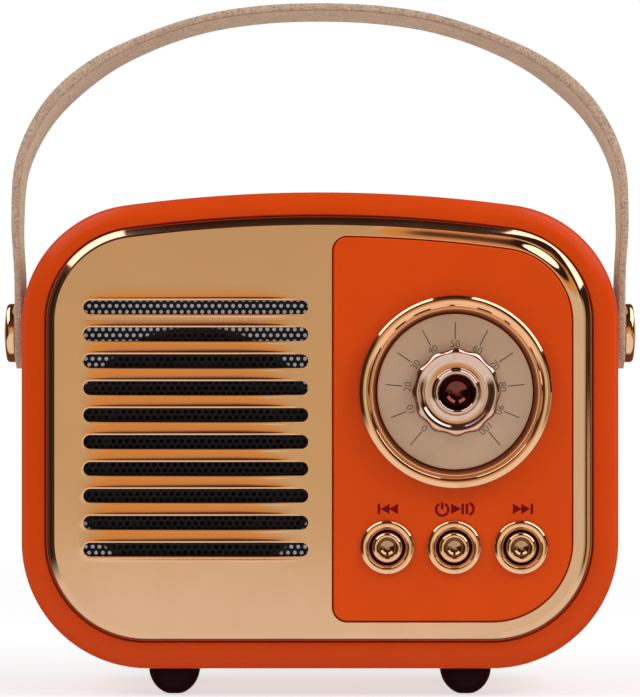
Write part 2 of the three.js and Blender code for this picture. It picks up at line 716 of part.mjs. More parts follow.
// The strap's middle line from the right screw to the top, as [x, height above the screws].
const STRAP_LINE = [
  [50.6, -7],
  [50.6, 0],
  [50.7, 9],
  [51.2, 18.9],
  [50.3, 29],
  [45.7, 38],
  [37.9, 45.1],
  [28.8, 49.8],
  [19.3, 52.9],
  [9.6, 54.4],
];

function strap() {
  const mirrored = STRAP_LINE.map(([x, h]) => [-x, h]).reverse();
  const line = [...STRAP_LINE, [0, 54.8], ...mirrored];
  const curve = new THREE.CatmullRomCurve3(line.map(([x, h]) => new THREE.Vector3(x, 0, h)));
  const steps = 48;
  const rows = Array.from({ length: steps + 1 }, (_, i) => {
    const p = curve.getPointAt(i / steps);
    const along = curve.getTangentAt(i / steps);
    const out = new THREE.Vector3(along.z, 0, -along.x).multiplyScalar(STRAP.thick / 2);
    const half = STRAP.width / 2;
    return [
      [p.x + out.x, -half, p.z + out.z],
      [p.x + out.x, half, p.z + out.z],
      [p.x - out.x, half, p.z - out.z],
      [p.x - out.x, -half, p.z - out.z],
    ];
  });
  const made = skin(rows, false);
  const end = steps * 4;
  made.index.push(0, 2, 1, 0, 3, 2, end, end + 1, end + 2, end, end + 2, end + 3);
  const band = solid(geometryOf(made));
  const roundEnds = alongX(rodY(STRAP.width / 2, -60, 60, 0, 0, 24));
  const above = box(-60, 60, -STRAP.width, STRAP.width, 0, 70);
  const screwHoles = alongX(rodY(STRAP_SCREW.shankR + 0.2, -60, 60, 0, 0, 16));
  return band.intersect(roundEnds.add(above)).subtract(screwHoles);
}

const atStrapScrew = (piece, sign) =>
  alongX(piece)
    .rotate([0, 0, sign > 0 ? 0 : 180])
    .translate([0, MID_Y, STRAP.z]);

const strapWasher = () => {
  const inner = CASE.width / 2 + 0.05;
  const outer = STRAP.innerX - SEAT_GAP;
  const bore = STRAP_SCREW.shankR + 0.2;
  return turned([[bore, inner], [STRAP_SCREW.washerR, inner], [STRAP_SCREW.washerR, outer], [bore, outer]]);
};

const strapScrew = () => {
  const seat = STRAP.innerX + STRAP.thick + SEAT_GAP;
  const dome = arc(0, seat + 0.7, STRAP_SCREW.headR, STRAP_SCREW.headRise - 0.7, 0, 90, 4);
  return turned([
    [0, 43.8],
    [STRAP_SCREW.shankR, 43.8],
    [STRAP_SCREW.shankR, seat],
    [STRAP_SCREW.headR - 0.2, seat],
    ...dome.slice(0, -1),
    [0, seat + STRAP_SCREW.headRise],
  ]);
};

const strapNut = () => {
  const inner = CASE.width / 2 - CASE.wall - 0.3;
  const nut = rodY(3.1, inner - 2.4, inner, 0, 0, 6);
  return nut.subtract(rodY(STRAP_SCREW.shankR + SEAT_GAP, inner - 4, inner + 1, 0, 0, 16));
};

// ---------------------------------------------------------------- put together

add('case_shell', caseShell(), MATERIAL.orange);
add('rear_cover', rearCover(), MATERIAL.orange);
for (const [name, x, z] of REAR_SCREWS) {
  add(`rear_screw_${name}`, rearScrew(x, z), MATERIAL.steel);
}
add('front_bezel', frontBezel(), MATERIAL.roseGold);
add('grille_mesh', grilleMesh(), MATERIAL.blackMetal);
add('speaker_baffle', speakerBaffle(), MATERIAL.palePlastic);
add('control_panel', controlPanel(), MATERIAL.orange);
add('dial_ring', dialRing(), MATERIAL.roseGold);
add('dial_face', dialFace(), MATERIAL.champagne);
add('tuning_knob', tuningKnob(), MATERIAL.roseGold);
add('knob_insert', knobInsert(), MATERIAL.roseGold);
add('pot_shaft', potShaft(), MATERIAL.steel);
add('volume_pot', volumePot(), MATERIAL.steel);
['previous', 'play', 'next'].forEach((name, i) => {
  const x = buttonX(i);
  add(`button_ring_${name}`, buttonRing(x), MATERIAL.roseGold);
  add(`button_cap_${name}`, buttonCap(x), MATERIAL.roseGold);
  add(`switch_plunger_${name}`, switchPlunger(x), MATERIAL.blackPlastic);
  add(`tact_switch_${name}`, tactSwitch(x), MATERIAL.blackPlastic);
});
add('control_board', controlBoard(), MATERIAL.board);
add('speaker_frame', speakerFrame(), MATERIAL.blackMetal);
for (const [name, profile, material] of [...DRIVER_PARTS, ...CONE_PARTS]) {
  add(name, driverPiece(profile), material);
}
add('main_board', mainBoard(), MATERIAL.board);
add('wireless_module', wirelessModule(), MATERIAL.steel);
add('usb_port', usbPort(), MATERIAL.steel);
add('aux_jack', auxJack(), MATERIAL.blackPlastic);
add('battery_cell', batteryCell(), MATERIAL.batteryWrap);
add('battery_cradle', batteryCradle(), MATERIAL.blackPlastic);
for (const [name, x, y] of FEET) {
  add(`foot_${name}`, foot(x, y), MATERIAL.rubber);
}
for (const [name, sign] of SIDES) {
  add(`strap_washer_${name}`, atStrapScrew(strapWasher(), sign), MATERIAL.roseGold);
  add(`strap_screw_${name}`, atStrapScrew(strapScrew(), sign), MATERIAL.roseGold);
  add(`strap_nut_${name}`, atStrapScrew(strapNut(), sign), MATERIAL.steel);
}

const boardFront = MAIN_BOARD.y - 0.3;
const speakerWire = (x) =>
  wire(
    [
      [x, DRIVER_Y + 12, 24],
      [x - 1, DRIVER_Y + 21, 24.2],
      [x, 6, 27.8],
      [x + 2, 13, 31],
      [x + 1, boardFront, 33],
    ],
    0.6,
  );
const batteryWire = (sign) =>
  wire(
    [
      [sign * 33.4, BATTERY.y, BATTERY.z],
      [sign * 35, BATTERY.y - 1, 22],
      [sign * 32, BATTERY.y - 1, 30],
      [sign * 25, BATTERY.y, 33],
      [sign * 23, boardFront, 34],
    ],
    0.6,
  );
add('speaker_wire_red', speakerWire(-19), MATERIAL.redWire);
add('speaker_wire_black', speakerWire(-16), MATERIAL.blackWire);
add('battery_wire_red', batteryWire(1), MATERIAL.redWire);
add('battery_wire_black', batteryWire(-1), MATERIAL.blackWire);

// The strap leans back a little on its screws.
const handle = new THREE.Group();
handle.position.set(0, MID_Y, STRAP.z);
handle.rotation.x = -THREE.MathUtils.degToRad(STRAP.leanDeg);
add('strap', strap(), MATERIAL.leather, handle);
radio.add(handle);

export default radio;
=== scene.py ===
"""A small retro portable radio: glossy orange case, rose-gold front, dial, buttons and leather strap.

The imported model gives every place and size. The visible shells, turned pieces, strap and printing are
rebuilt here with smooth surfaces, in millimetres, and written to Blender in metres.
"""

import math

import bmesh
import bpy
from mathutils import Matrix, Vector, noise
from mathutils.geometry import delaunay_2d_cdt, tessellate_polygon

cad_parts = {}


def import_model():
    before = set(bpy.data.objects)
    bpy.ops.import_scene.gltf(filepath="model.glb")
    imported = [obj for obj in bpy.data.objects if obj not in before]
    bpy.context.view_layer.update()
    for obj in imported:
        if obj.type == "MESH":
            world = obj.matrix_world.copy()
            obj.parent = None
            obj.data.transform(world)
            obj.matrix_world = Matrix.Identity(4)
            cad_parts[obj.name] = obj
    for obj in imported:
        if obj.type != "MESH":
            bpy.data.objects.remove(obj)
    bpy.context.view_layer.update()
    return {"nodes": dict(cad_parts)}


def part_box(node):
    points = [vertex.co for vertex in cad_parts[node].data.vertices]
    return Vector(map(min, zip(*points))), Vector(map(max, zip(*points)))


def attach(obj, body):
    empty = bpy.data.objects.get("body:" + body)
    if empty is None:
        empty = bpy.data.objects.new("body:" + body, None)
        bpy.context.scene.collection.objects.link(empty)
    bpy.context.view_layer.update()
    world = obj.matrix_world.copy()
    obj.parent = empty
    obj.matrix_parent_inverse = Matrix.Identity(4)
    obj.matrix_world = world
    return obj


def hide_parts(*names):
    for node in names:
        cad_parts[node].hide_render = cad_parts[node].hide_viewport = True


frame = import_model()

MM = 0.001
NODES = frame["nodes"]
BODY = "radio_body"

# ---- places and sizes, in millimetres


def corners(node):
    """Lowest and highest corner of a CAD node, in millimetres."""
    low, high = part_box(node)
    return low / MM, high / MM


def middle(node):
    low, high = corners(node)
    return (low + high) / 2


CASE_LOW, CASE_HIGH = corners("case_shell")
FRONT_Y, REAR_Y = CASE_LOW.y, CASE_HIGH.y
BOTTOM_Z, TOP_Z = CASE_LOW.z, CASE_HIGH.z
LOW_R, HIGH_R, ARCH_R = 20.8, 19.6, 240.0  # the case's lower corners, upper corners and arched top
LOW_X, HIGH_X = CASE_HIGH.x - LOW_R, CASE_HIGH.x - HIGH_R
LOW_CORNER_Z = BOTTOM_Z + LOW_R
ARCH_Z = TOP_Z - ARCH_R
HIGH_CORNER_Z = ARCH_Z + math.sqrt((ARCH_R - HIGH_R) ** 2 - HIGH_X ** 2)
ARCH_LEAN = math.degrees(math.atan2(HIGH_X, HIGH_CORNER_Z - ARCH_Z))
FRONT_SHIFT = (-0.15, 0.35)  # the front opening, plate and panel, against the case's outline

PANEL_Y = corners("control_panel")[0].y
PANEL_RISE = 0.6
PLATE_Y = PANEL_Y + PANEL_RISE
PANEL_LEFT = 2.2
PANEL_INSET = 7.8
PANEL_CORNER_R = 2.2

SLOT_COUNT = 10
SLOT_X = -20.25
SLOT_TOP_Z = 63.77
SLOT_PITCH = 4.39
SLOT_LENGTH = 36.6
SLOT_HEIGHT = 2.2

DIAL = middle("dial_ring")
FACE_Y = corners("dial_face")[0].y
KNOB_TIP = corners("tuning_knob")[0].y
BUTTONS = ("previous", "play", "next")
STRAP_AXIS = middle("strap_screw_left")

# ---- outlines, as (x, z) points


def arc(cx, cz, r, start, end, steps):
    angles = (math.radians(start + (end - start) * i / steps) for i in range(steps + 1))
    return [(cx + r * math.cos(a), cz + r * math.sin(a)) for a in angles]


def circle(cx, cz, r, steps=96):
    return arc(cx, cz, r, 0, 360, steps)[:-1]


CORNER_STEPS, ARCH_STEPS = 28, 66


def case_outline(inset):
    """The case's outline moved inwards, anticlockwise from the bottom left corner."""
    low_r, high_r, lean = LOW_R - inset, HIGH_R - inset, ARCH_LEAN
    return [
        *arc(-LOW_X, LOW_CORNER_Z, low_r, 180, 270, CORNER_STEPS),
        *arc(LOW_X, LOW_CORNER_Z, low_r, 270, 360, CORNER_STEPS),
        *arc(HIGH_X, HIGH_CORNER_Z, high_r, 0, 90 - lean, CORNER_STEPS),
        *arc(0, ARCH_Z, ARCH_R - inset, 90 - lean, 90 + lean, ARCH_STEPS)[1:-1],
        *arc(-HIGH_X, HIGH_CORNER_Z, high_r, 90 + lean, 180, CORNER_STEPS),
    ]


def shifted(outline):
    return [(x + FRONT_SHIFT[0], z + FRONT_SHIFT[1]) for x, z in outline]


def front_outline(inset):
    return shifted(case_outline(inset))


def panel_outline(grow=0.0):
    """The control panel: the right part of the front's outline, cut off by an upright left side."""
    inset = PANEL_INSET - grow
    arch_r, small_r = ARCH_R - inset, PANEL_CORNER_R + grow
    left_x = PANEL_LEFT - FRONT_SHIFT[0] - grow + small_r
    low_z = BOTTOM_Z + inset + small_r
    high_z = ARCH_Z + math.sqrt(arch_r ** 2 - left_x ** 2) - small_r
    left_lean = math.degrees(math.asin(left_x / arch_r))
    return shifted([
        *arc(left_x, low_z, small_r, 180, 270, 8),
        *arc(LOW_X, LOW_CORNER_Z, LOW_R - inset, 270, 360, 24),
        *arc(HIGH_X, HIGH_CORNER_Z, HIGH_R - inset, 0, 90 - ARCH_LEAN, 24),
        *arc(0, ARCH_Z, arch_r, 90 - ARCH_LEAN, 90 - left_lean, 8)[1:-1],
        *arc(left_x, high_z, small_r, 90, 180, 8),
    ])


def slot_outline(x, z, length, height, grow=0.0, steps=14):
    r, half = height / 2 + grow, (length - height) / 2
    return [*arc(x - half, z, r, 90, 270, steps), *arc(x + half, z, r, -90, 90, steps)]


def quarter(width, height, steps=8):
    """A rounded edge as (inwards, down) pairs: from flat on top to upright at the edge."""
    angles = (math.pi / 2 * i / steps for i in range(steps + 1))
    return [(width * (1 - math.sin(a)), height * (1 - math.cos(a))) for a in angles]


# ---- meshes


def new_object(name, data):
    obj = bpy.data.objects.new(name, data)
    bpy.context.scene.collection.objects.link(obj)
    return obj


def finished_mesh(obj):
    """A copy of an object's mesh with its modifiers or its text applied."""
    bpy.context.view_layer.update()
    return bpy.data.meshes.new_from_object(obj.evaluated_get(bpy.context.evaluated_depsgraph_get()))


def to_mesh(bm, name, place=None):
    """A mesh in metres from faces in millimetres. place turns and moves them first."""
    bmesh.ops.recalc_face_normals(bm, faces=bm.faces)
    if place is not None:
        bm.transform(place)
    bm.transform(Matrix.Scale(MM, 4))
    mesh = bpy.data.meshes.new(name)
    bm.to_mesh(mesh)
    bm.free()
    return mesh


class Shell:
    """Points and faces of one piece, gathered as closed loops at chosen places on Y."""

    def __init__(self):
        self.bm = bmesh.new()

    def loop(self, outline, y):
        return [self.bm.verts.new((x, y, z)) for x, z in outline]

    def band(self, a, b):
        """Faces between two loops. Either may be a single point."""
        for i in range(max(len(a), len(b))):
            corner = [a[i % len(a)], a[(i + 1) % len(a)], b[(i + 1) % len(b)], b[i % len(b)]]
            self.bm.faces.new(list(dict.fromkeys(corner)))

    def chain(self, loops):
        for a, b in zip(loops, loops[1:]):
            self.band(a, b)
        return loops

    def cap(self, outer, holes=()):
        rings = [outer, *holes]
        points = [v for ring in rings for v in ring]
        flat = [[Vector((v.co.x, v.co.z, 0)) for v in ring] for ring in rings]
        for corner in tessellate_polygon(flat):
            if len(set(corner)) == 3:
                self.bm.faces.new([points[i] for i in corner])

    def build(self, name, material, slot, body=BODY, replaces=(), sharp=35, weighted=False, place=None,
              front_y=None, rise=None):
        """Makes the object. A polished front at front_y, with rise giving its height there, gets exact
        normals."""
        mesh = to_mesh(self.bm, name, place)
        obj = piece(name, mesh, material, body, replaces, sharp, weighted)
        if front_y is not None:
            true_front(mesh, front_y, rise or (lambda x, z: 0.0))
        return obj


def true_front(mesh, front_y, rise):
    """Exact normals on a polished front, so that it mirrors cleanly, and a crease where it ends."""
    step = 0.004
    exact = {}
    for vert in mesh.vertices:
        x, y, z = vert.co / MM
        if abs(front_y - rise(x, z) - y) < 1e-3:
            across = (rise(x + step, z) - rise(x - step, z)) / (2 * step)
            upward = (rise(x, z + step) - rise(x, z - step)) / (2 * step)
            exact[vert.index] = Vector((-across, -1, -upward)).normalized()
    normals = [Vector((0, 0, 0))] * len(mesh.loops)
    agrees = {}
    for face in mesh.polygons:
        known = [exact[v] for v in face.vertices if v in exact]
        follows = bool(known) and all(face.normal.dot(normal) > 0.955 for normal in known)
        for key in face.edge_keys:
            agrees.setdefault(key, []).append(follows)
        if follows:
            for i in face.loop_indices:
                normals[i] = exact.get(mesh.loops[i].vertex_index, Vector((0, 0, 0)))
    for edge in mesh.edges:
        key = tuple(sorted(edge.vertices))
        if set(agrees.get(key, ())) == {True, False} and all(v in exact for v in key):
            edge.use_edge_sharp = True
    mesh.normals_split_custom_set(normals)


def piece(name, mesh, material, body=BODY, replaces=(), sharp=35, weighted=False):
    mesh.shade_smooth()
    if sharp:
        mesh.set_sharp_from_angle(angle=math.radians(sharp))
    obj = new_object(name, mesh)
    for one in material if isinstance(material, (list, tuple)) else [material]:
        mesh.materials.append(one)
    if weighted:
        modifier = obj.modifiers.new("flat_normals", "WEIGHTED_NORMAL")
        modifier.keep_sharp = True
    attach(obj, body)
    if replaces:
        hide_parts(*replaces)
    return obj


BEAD_HALF_STEPS = 8


def turned(profile, x=0.0, z=0.0, steps=96):
    """A piece turned about an axis along Y. A profile that leaves the axis closes on itself."""
    shell = Shell()
    loops = []
    for r, y in profile:
        loops.append(shell.loop(circle(x, z, r, steps) if r > 0 else [(x, z)], y))
    shell.chain(loops)
    if profile[0][0] > 0:
        shell.band(loops[-1], loops[0])
    return shell


def bead(r_out, base_y, half, opening):
    """A round bead from its outer radius inwards: part of a circle that stands towards -Y. half is half its
    width, and opening half its angle in degrees."""
    edge = math.radians(opening)
    angles = (edge * (1 - i / BEAD_HALF_STEPS) for i in range(2 * BEAD_HALF_STEPS + 1))
    return [(r_out - half * (1 - math.sin(a) / math.sin(edge)),
             base_y - half * (math.cos(a) - math.cos(edge)) / math.sin(edge)) for a in angles]


def raised(profile, base_y):
    """A profile of (radius, place on Y) pairs moved along Y."""
    return [(r, base_y + y) for r, y in profile]


def along_x(side):
    """Turns a piece made about Y so that its +Y end points to the left or right strap screw."""
    turn = Matrix.Rotation(-side * math.pi / 2, 4, "Z")
    return Matrix.Translation((0, STRAP_AXIS.y, STRAP_AXIS.z)) @ turn


# ---- materials


def srgb(r, g, b):
    """A linear colour from the 0 to 255 numbers that a screen shows."""
    def one(c):
        c /= 255
        return c / 12.92 if c <= 0.04045 else ((c + 0.055) / 1.055) ** 2.4
    return (one(r), one(g), one(b), 1.0)


def shade(color, factor):
    return tuple(min(1.0, c * factor) for c in color[:3]) + (1.0,)


NOISE_RANGE = (0.3, 0.7)  # where nearly all of a noise texture's values lie


class Wires:
    """Short ways to make and link the nodes of one tree."""

    def feed(self, socket, value):
        """Gives an input a fixed value, or links it to another node's output."""
        if isinstance(value, bpy.types.NodeSocket):
            self.tree.links.new(value, socket)
        else:
            socket.default_value = value

    def node(self, kind, numbered=(), **settings):
        """settings hold properties and named inputs, numbered holds (index, value) inputs."""
        made = self.tree.nodes.new(kind)
        for key, value in settings.items():
            if hasattr(made, key):
                setattr(made, key, value)
            else:
                self.feed(made.inputs[key.replace("_", " ")], value)
        for index, value in numbered:
            self.feed(made.inputs[index], value)
        return made

    def ramp(self, source, stops):
        """Colours along a source from 0 to 1, as (place, colour) pairs."""
        made = self.node("ShaderNodeValToRGB", Fac=source)
        elements = made.color_ramp.elements
        while len(elements) < len(stops):
            elements.new(0.5)
        for element, (place, color) in zip(elements, stops):
            element.position = place
            element.color = color
        return made.outputs["Color"]


class Look(Wires):
    """One procedural material."""

    def __init__(self, name, color, roughness, metallic=0.0, **constants):
        self.material = bpy.data.materials.new(name)
        self.material.use_nodes = True
        self.tree = self.material.node_tree
        self.shader = self.tree.nodes["Principled BSDF"]
        constants.update(Base_Color=color, Roughness=roughness, Metallic=metallic)
        for key, value in constants.items():
            self.wire(key, value)
        self.color, self.roughness = color, roughness
        self.coords = self.node("ShaderNodeTexCoord").outputs["Object"]

    def wire(self, key, value):
        """Feeds one of the shader's inputs."""
        self.feed(self.shader.inputs[key.replace("_", " ")], value)
        return self

    def placed(self, scale, location=(0, 0, 0)):
        """Coordinates scaled along each axis, then moved."""
        return self.node("ShaderNodeMapping", Vector=self.coords, Scale=scale, Location=location).outputs[0]

    def reach(self, coords):
        """The distance from the middle."""
        return self.node("ShaderNodeVectorMath", [(0, coords)], operation="LENGTH").outputs["Value"]

    def noise(self, size_mm, detail=3.0, coords=None, rough=0.5):
        return self.node("ShaderNodeTexNoise", Vector=coords or self.coords, Scale=1 / (size_mm * MM),
                         Detail=detail, Roughness=rough).outputs["Fac"]

    def cells(self, size_mm, coords=None):
        return self.node("ShaderNodeTexVoronoi", Vector=coords or self.coords,
                         Scale=1 / (size_mm * MM)).outputs["Distance"]

    def tint(self, source, spread):
        """Base colour wandering a little lighter and darker."""
        low, high = NOISE_RANGE
        stops = [(low, shade(self.color, 1 - spread)), (high, shade(self.color, 1 + spread))]
        return self.wire("Base_Color", self.ramp(source, stops))

    def dull(self, source, spread):
        """Roughness wandering a little."""
        low, high = NOISE_RANGE
        made = self.node("ShaderNodeMapRange", Value=source, From_Min=low, From_Max=high,
                         To_Min=max(0.02, self.roughness - spread), To_Max=self.roughness + spread)
        return self.wire("Roughness", made.outputs[0])

    def bump(self, source, depth_mm):
        """Raises and lowers the surface by depth_mm. A second call adds to the first."""
        made = self.node("ShaderNodeBump", Height=source, Strength=1.0, Distance=depth_mm * MM)
        before = self.shader.inputs["Normal"].links
        if before:
            self.feed(made.inputs["Normal"], before[0].from_socket)
        return self.wire("Normal", made.outputs[0])

    def multiplied(self, color, mask, share=1.0):
        """One colour darkened by another, as far as share says."""
        return self.node("ShaderNodeMix", [(6, color), (7, mask)], data_type="RGBA", blend_type="MULTIPLY",
                         Factor=share).outputs[2]


def finish(name, color, roughness, metallic, tint, dull, bump, **constants):
    """A finish with noise in its colour (size, detail, spread), gloss (size, spread) and surface (size,
    detail, depth)."""
    look = Look(name, color, roughness, metallic, **constants)
    look.tint(look.noise(tint[0], tint[1]), tint[2]).dull(look.noise(dull[0]), dull[1])
    return look.bump(look.noise(bump[0], bump[1]), bump[2]).material


def mottled(name, color, roughness, metallic=0.0, size=2.0, spread=0.08, depth=0.004, **constants):
    """A plain finish whose variation is set by one size."""
    return finish(name, color, roughness, metallic, (size, 3, spread), (size * 0.6, 0.06),
                  (size * 0.15, 3, depth), **constants)


def orange_plastic(name, color):
    return finish(name, color, 0.3, 0.0, (14, 2, 0.025), (2.5, 0.02), (0.6, 1, 0.0006),
                  Specular_IOR_Level=0.11)


def shaded_plating(name, color):
    """Plating darkened as painted shade, for inside the dishes and on the dial's cone."""
    return finish(name, color, 0.07, 1.0, (2, 2, 0.05), (1, 0.02), (1.5, 1, 0.0008))


def champagne():
    """Satin metal, brushed upright."""
    look = Look("champagne_satin", srgb(202, 172, 146), 0.42, 0.5)
    look.tint(look.noise(0.12, 2, look.placed((1, 1, 0.05))), 0.03).dull(look.noise(4), 0.04)
    return look.bump(look.noise(0.1, 2), 0.0008).material


FLECK = (0.28, 0.15, 0.07, 1)
WHITE = (1, 1, 1, 1)


def leather(name, color, fleck, depth, grain=0.28):
    """Raw leather: clouded colour, with brown flecks of the grain's size. fleck is how dark they are."""
    look = Look(name, color, 0.86, Specular_IOR_Level=0.3, Sheen_Weight=0.25, Sheen_Roughness=0.5)
    cloud = look.noise(3.5, 4, rough=0.65)
    spots = look.noise(grain, 3, rough=0.7)
    base = look.ramp(cloud, [(0.3, shade(color, 0.88)), (0.7, shade(color, 1.08))])
    mask = look.ramp(spots, [(0.4, FLECK), (0.52, WHITE)])
    look.wire("Base_Color", look.multiplied(base, mask, fleck)).dull(cloud, 0.06)
    return look.bump(spots, depth).bump(look.cells(0.9), depth * 0.6).material


BAFFLE_PALE = srgb(250, 244, 255)
SHADE_RING_BLACK = srgb(14, 11, 10)
SHADE_RING_R = 21.1


def baffle_painted_glow_and_shade():
    """Pale plastic that glows a little, which is painted light, with a black ring round the driver's hole,
    which is painted shade.
    """
    # The Emission inputs make the pale plastic glow: painted light.
    look = Look("pale_plastic_painted_glow", BAFFLE_PALE, 0.5, Emission_Strength=0.18)
    look.dull(look.noise(1.8), 0.06).bump(look.noise(0.45), 0.004)
    axis = middle("speaker_cone") * MM
    span = 1 / 0.05
    reach = look.reach(look.placed((span, 0, span), (-axis.x * span, 0, -axis.z * span)))
    shade_ring_edge, soft = SHADE_RING_R * MM * span, 0.002
    pale = look.ramp(look.noise(3), [(0.3, shade(BAFFLE_PALE, 0.97)), (0.7, shade(BAFFLE_PALE, 1.03))])
    # The black ring round the driver's hole is painted shade, and it also takes the painted glow away there.
    color = look.multiplied(pale, look.ramp(reach, [(shade_ring_edge - soft, SHADE_RING_BLACK), (shade_ring_edge + soft, WHITE)]))
    return look.wire("Emission_Color", color).wire("Base_Color", color).material


def striped(name, color, roughness, metallic, axis, pitch, depth):
    """Fine parallel turns or ridges across one axis."""
    look = Look(name, color, roughness, metallic)
    wave = look.node("ShaderNodeTexWave", Vector=look.coords, bands_direction=axis,
                     Scale=0.314 / (pitch * MM), Distortion=0.3, Detail=1.0).outputs["Fac"]
    look.tint(wave, 0.18).dull(look.noise(1), 0.05)
    return look.bump(wave, depth).material


def circuit_board():
    """Green lacquer with paler copper tracks under it."""
    look = Look("circuit_board", srgb(26, 92, 50), 0.4)
    tracks = look.cells(2.4, look.placed((1, 0.2, 1)))
    stops = [(0.0, srgb(178, 140, 60)), (0.12, srgb(178, 140, 60)), (0.16, srgb(22, 82, 44)),
             (0.6, srgb(34, 108, 60))]
    look.wire("Base_Color", look.ramp(tracks, stops)).dull(look.noise(1.5), 0.06)
    return look.bump(tracks, 0.02).material


ORANGE = orange_plastic("orange_plastic", srgb(194, 60, 2))
PANEL_ORANGE = orange_plastic("orange_panel", srgb(202, 65, 3))
PLATE_GOLD = finish("plate_gold", srgb(213, 171, 135), 0.08, 1.0, (20, 2, 0.015), (6, 0.015), (9, 1, 0.001))
ROSE_GOLD = finish("rose_gold", srgb(227, 181, 140), 0.06, 1.0, (9, 2, 0.015), (3, 0.015), (2.5, 1, 0.0006))
KNOB_GOLD = finish("knob_rose_gold", srgb(209, 177, 160), 0.06, 1.0, (5, 2, 0.02), (3, 0.015),
                   (2.5, 1, 0.0005))
CHAMPAGNE = champagne()
# Darker copies of the plating: painted shade inside the knob's and buttons' deep dishes.
KNOB_DISH_PAINTED_SHADE = shaded_plating("knob_dish_painted_shade", srgb(104, 56, 46))
BUTTON_DISH_PAINTED_SHADE = shaded_plating("button_dish_painted_shade", srgb(172, 138, 104))
# Darker, redder plating for the dial's cone: painted shade and a painted reflection.
CONE_PAINTED_SHADE = shaded_plating("dial_cone_painted_shade", srgb(168, 84, 50))
# A dark finish for the buttons' flanges: painted shade in the gap round each cap.
GAP_PAINTED_SHADE = mottled("gap_painted_shade", srgb(46, 14, 14), 0.5, 0.2, 0.8, 0.15, 0.002, Specular_IOR_Level=0.2)
STRAP_FACE = leather("strap_leather_face", srgb(206, 184, 162), 0.3, 0.02)
STRAP_EDGE = leather("strap_leather_edge", srgb(187, 162, 139), 0.55, 0.08, 0.32)
STRAP_INNER = leather("strap_leather_inner", srgb(206, 199, 161), 0.5, 0.07, 0.5)
RUBBER = finish("foot_rubber", srgb(27, 3, 5), 0.45, 0.0, (3, 3, 0.12), (1.2, 0.06), (0.25, 3, 0.006),
                Specular_IOR_Level=0.04)
BLACK_METAL = mottled("black_powder_coat", srgb(26, 26, 31), 0.42, 0.3, 0.6, 0.15, 0.003)
MESH_METAL = mottled("mesh_black", srgb(17, 15, 20), 0.5, 0.0, 0.6, 0.2, 0.002, Specular_IOR_Level=0.2)
BLACK_PLASTIC = mottled("black_plastic", srgb(28, 28, 30), 0.42, 0.0, 1.5, 0.12)
STEEL = mottled("zinc_steel", srgb(190, 192, 196), 0.26, 1.0, 2.0, 0.06, 0.002)
PAPER = mottled("pressed_paper", srgb(40, 40, 42), 0.9, 0.0, 0.7, 0.25, 0.02)
CONE_RUBBER = mottled("cone_rubber", srgb(26, 26, 26), 0.5, 0.0, 1.2, 0.12, 0.004)
FOAM = mottled("gasket_foam", srgb(34, 34, 36), 0.95, 0.0, 0.5, 0.3, 0.04)
FERRITE = mottled("ferrite", srgb(58, 58, 62), 0.65, 0.1, 1.0, 0.2, 0.02)
BATTERY = mottled("battery_sleeve", srgb(44, 104, 176), 0.28, 0.0, 6.0, 0.05, 0.002, Coat_Weight=0.4)
SPIDER = striped("spider_cloth", srgb(168, 122, 60), 0.85, 0.0, "X", 0.8, 0.05)
COPPER = striped("copper_winding", srgb(190, 110, 62), 0.28, 1.0, "Y", 0.22, 0.03)
BOARD = circuit_board()
CLOTH = mottled("dust_cloth", srgb(16, 16, 17), 0.95, 0.0, 0.4, 0.3, 0.02, Specular_IOR_Level=0.1)
RED_WIRE = mottled("red_insulation", srgb(176, 28, 24), 0.4, 0.0, 3.0, 0.06)
BLACK_WIRE = mottled("black_insulation", srgb(22, 22, 22), 0.4, 0.0, 3.0, 0.1)
ICON_INK = mottled("crimson_ink", srgb(104, 0, 4), 0.5, 0.0, 0.8, 0.08, 0.001, Specular_IOR_Level=0.1)
SCALE_INK = mottled("dark_ink", srgb(56, 42, 34), 0.55, 0.0, 0.8, 0.1, 0.001)

# ---- case and rear cover

PLATE_REBATE = 4.2
COVER_REBATE = 3.6
FRONT_LEDGE_Y = FRONT_Y + 1.3
REAR_LEDGE_Y = REAR_Y - 1.7
LEDGE = 1.5
LEDGE_INSET = 6.0
WALL = 2.0
FRONT_FILLET = 3.6
REAR_FILLET = 3.0


def case():
    """The case's shell, with a ledge behind each opening for the front plate and the rear cover."""
    front = [(inset, FRONT_Y + down) for inset, down in quarter(FRONT_FILLET, FRONT_FILLET, 14)]
    rear = [(inset, REAR_Y - down) for inset, down in quarter(REAR_FILLET, REAR_FILLET, 12)]
    section = [
        *front,
        *reversed(rear),
        (COVER_REBATE, REAR_Y),
        (COVER_REBATE, REAR_LEDGE_Y),
        (LEDGE_INSET, REAR_LEDGE_Y),
        (LEDGE_INSET, REAR_LEDGE_Y - LEDGE),
        (WALL, REAR_LEDGE_Y - LEDGE),
        (WALL, FRONT_LEDGE_Y + LEDGE),
    ]
    opening = [(6.3, FRONT_LEDGE_Y + LEDGE), (6.3, FRONT_LEDGE_Y), (PLATE_REBATE, FRONT_LEDGE_Y),
               (PLATE_REBATE, FRONT_Y + 0.15), (PLATE_REBATE - 0.15, FRONT_Y)]
    shell = Shell()
    loops = [shell.loop(case_outline(inset), y) for inset, y in section]
    loops += [shell.loop(front_outline(inset), y) for inset, y in opening]
    shell.chain(loops)
    shell.band(loops[-1], loops[0])
    shell.build("case", ORANGE, "orange_case", replaces=["case_shell"], weighted=True)


# Slots in the rear cover, as (x, z, length, height).
VENTS = [(0, 50 + 4 * i, 30, 2.2) for i in range(6)]
USB = (-10, 36, 8.9, 3.2)
AUX_X, AUX_Z, AUX_R = 8, 36, 3.0
SCREW_NAMES = [f"rear_screw_{z}_{x}" for z in ("lower", "upper") for x in ("left", "right")]
SCREW_WELL_R, SCREW_HOLE_R, SCREW_SINK = 2.4, 1.4, 1.35


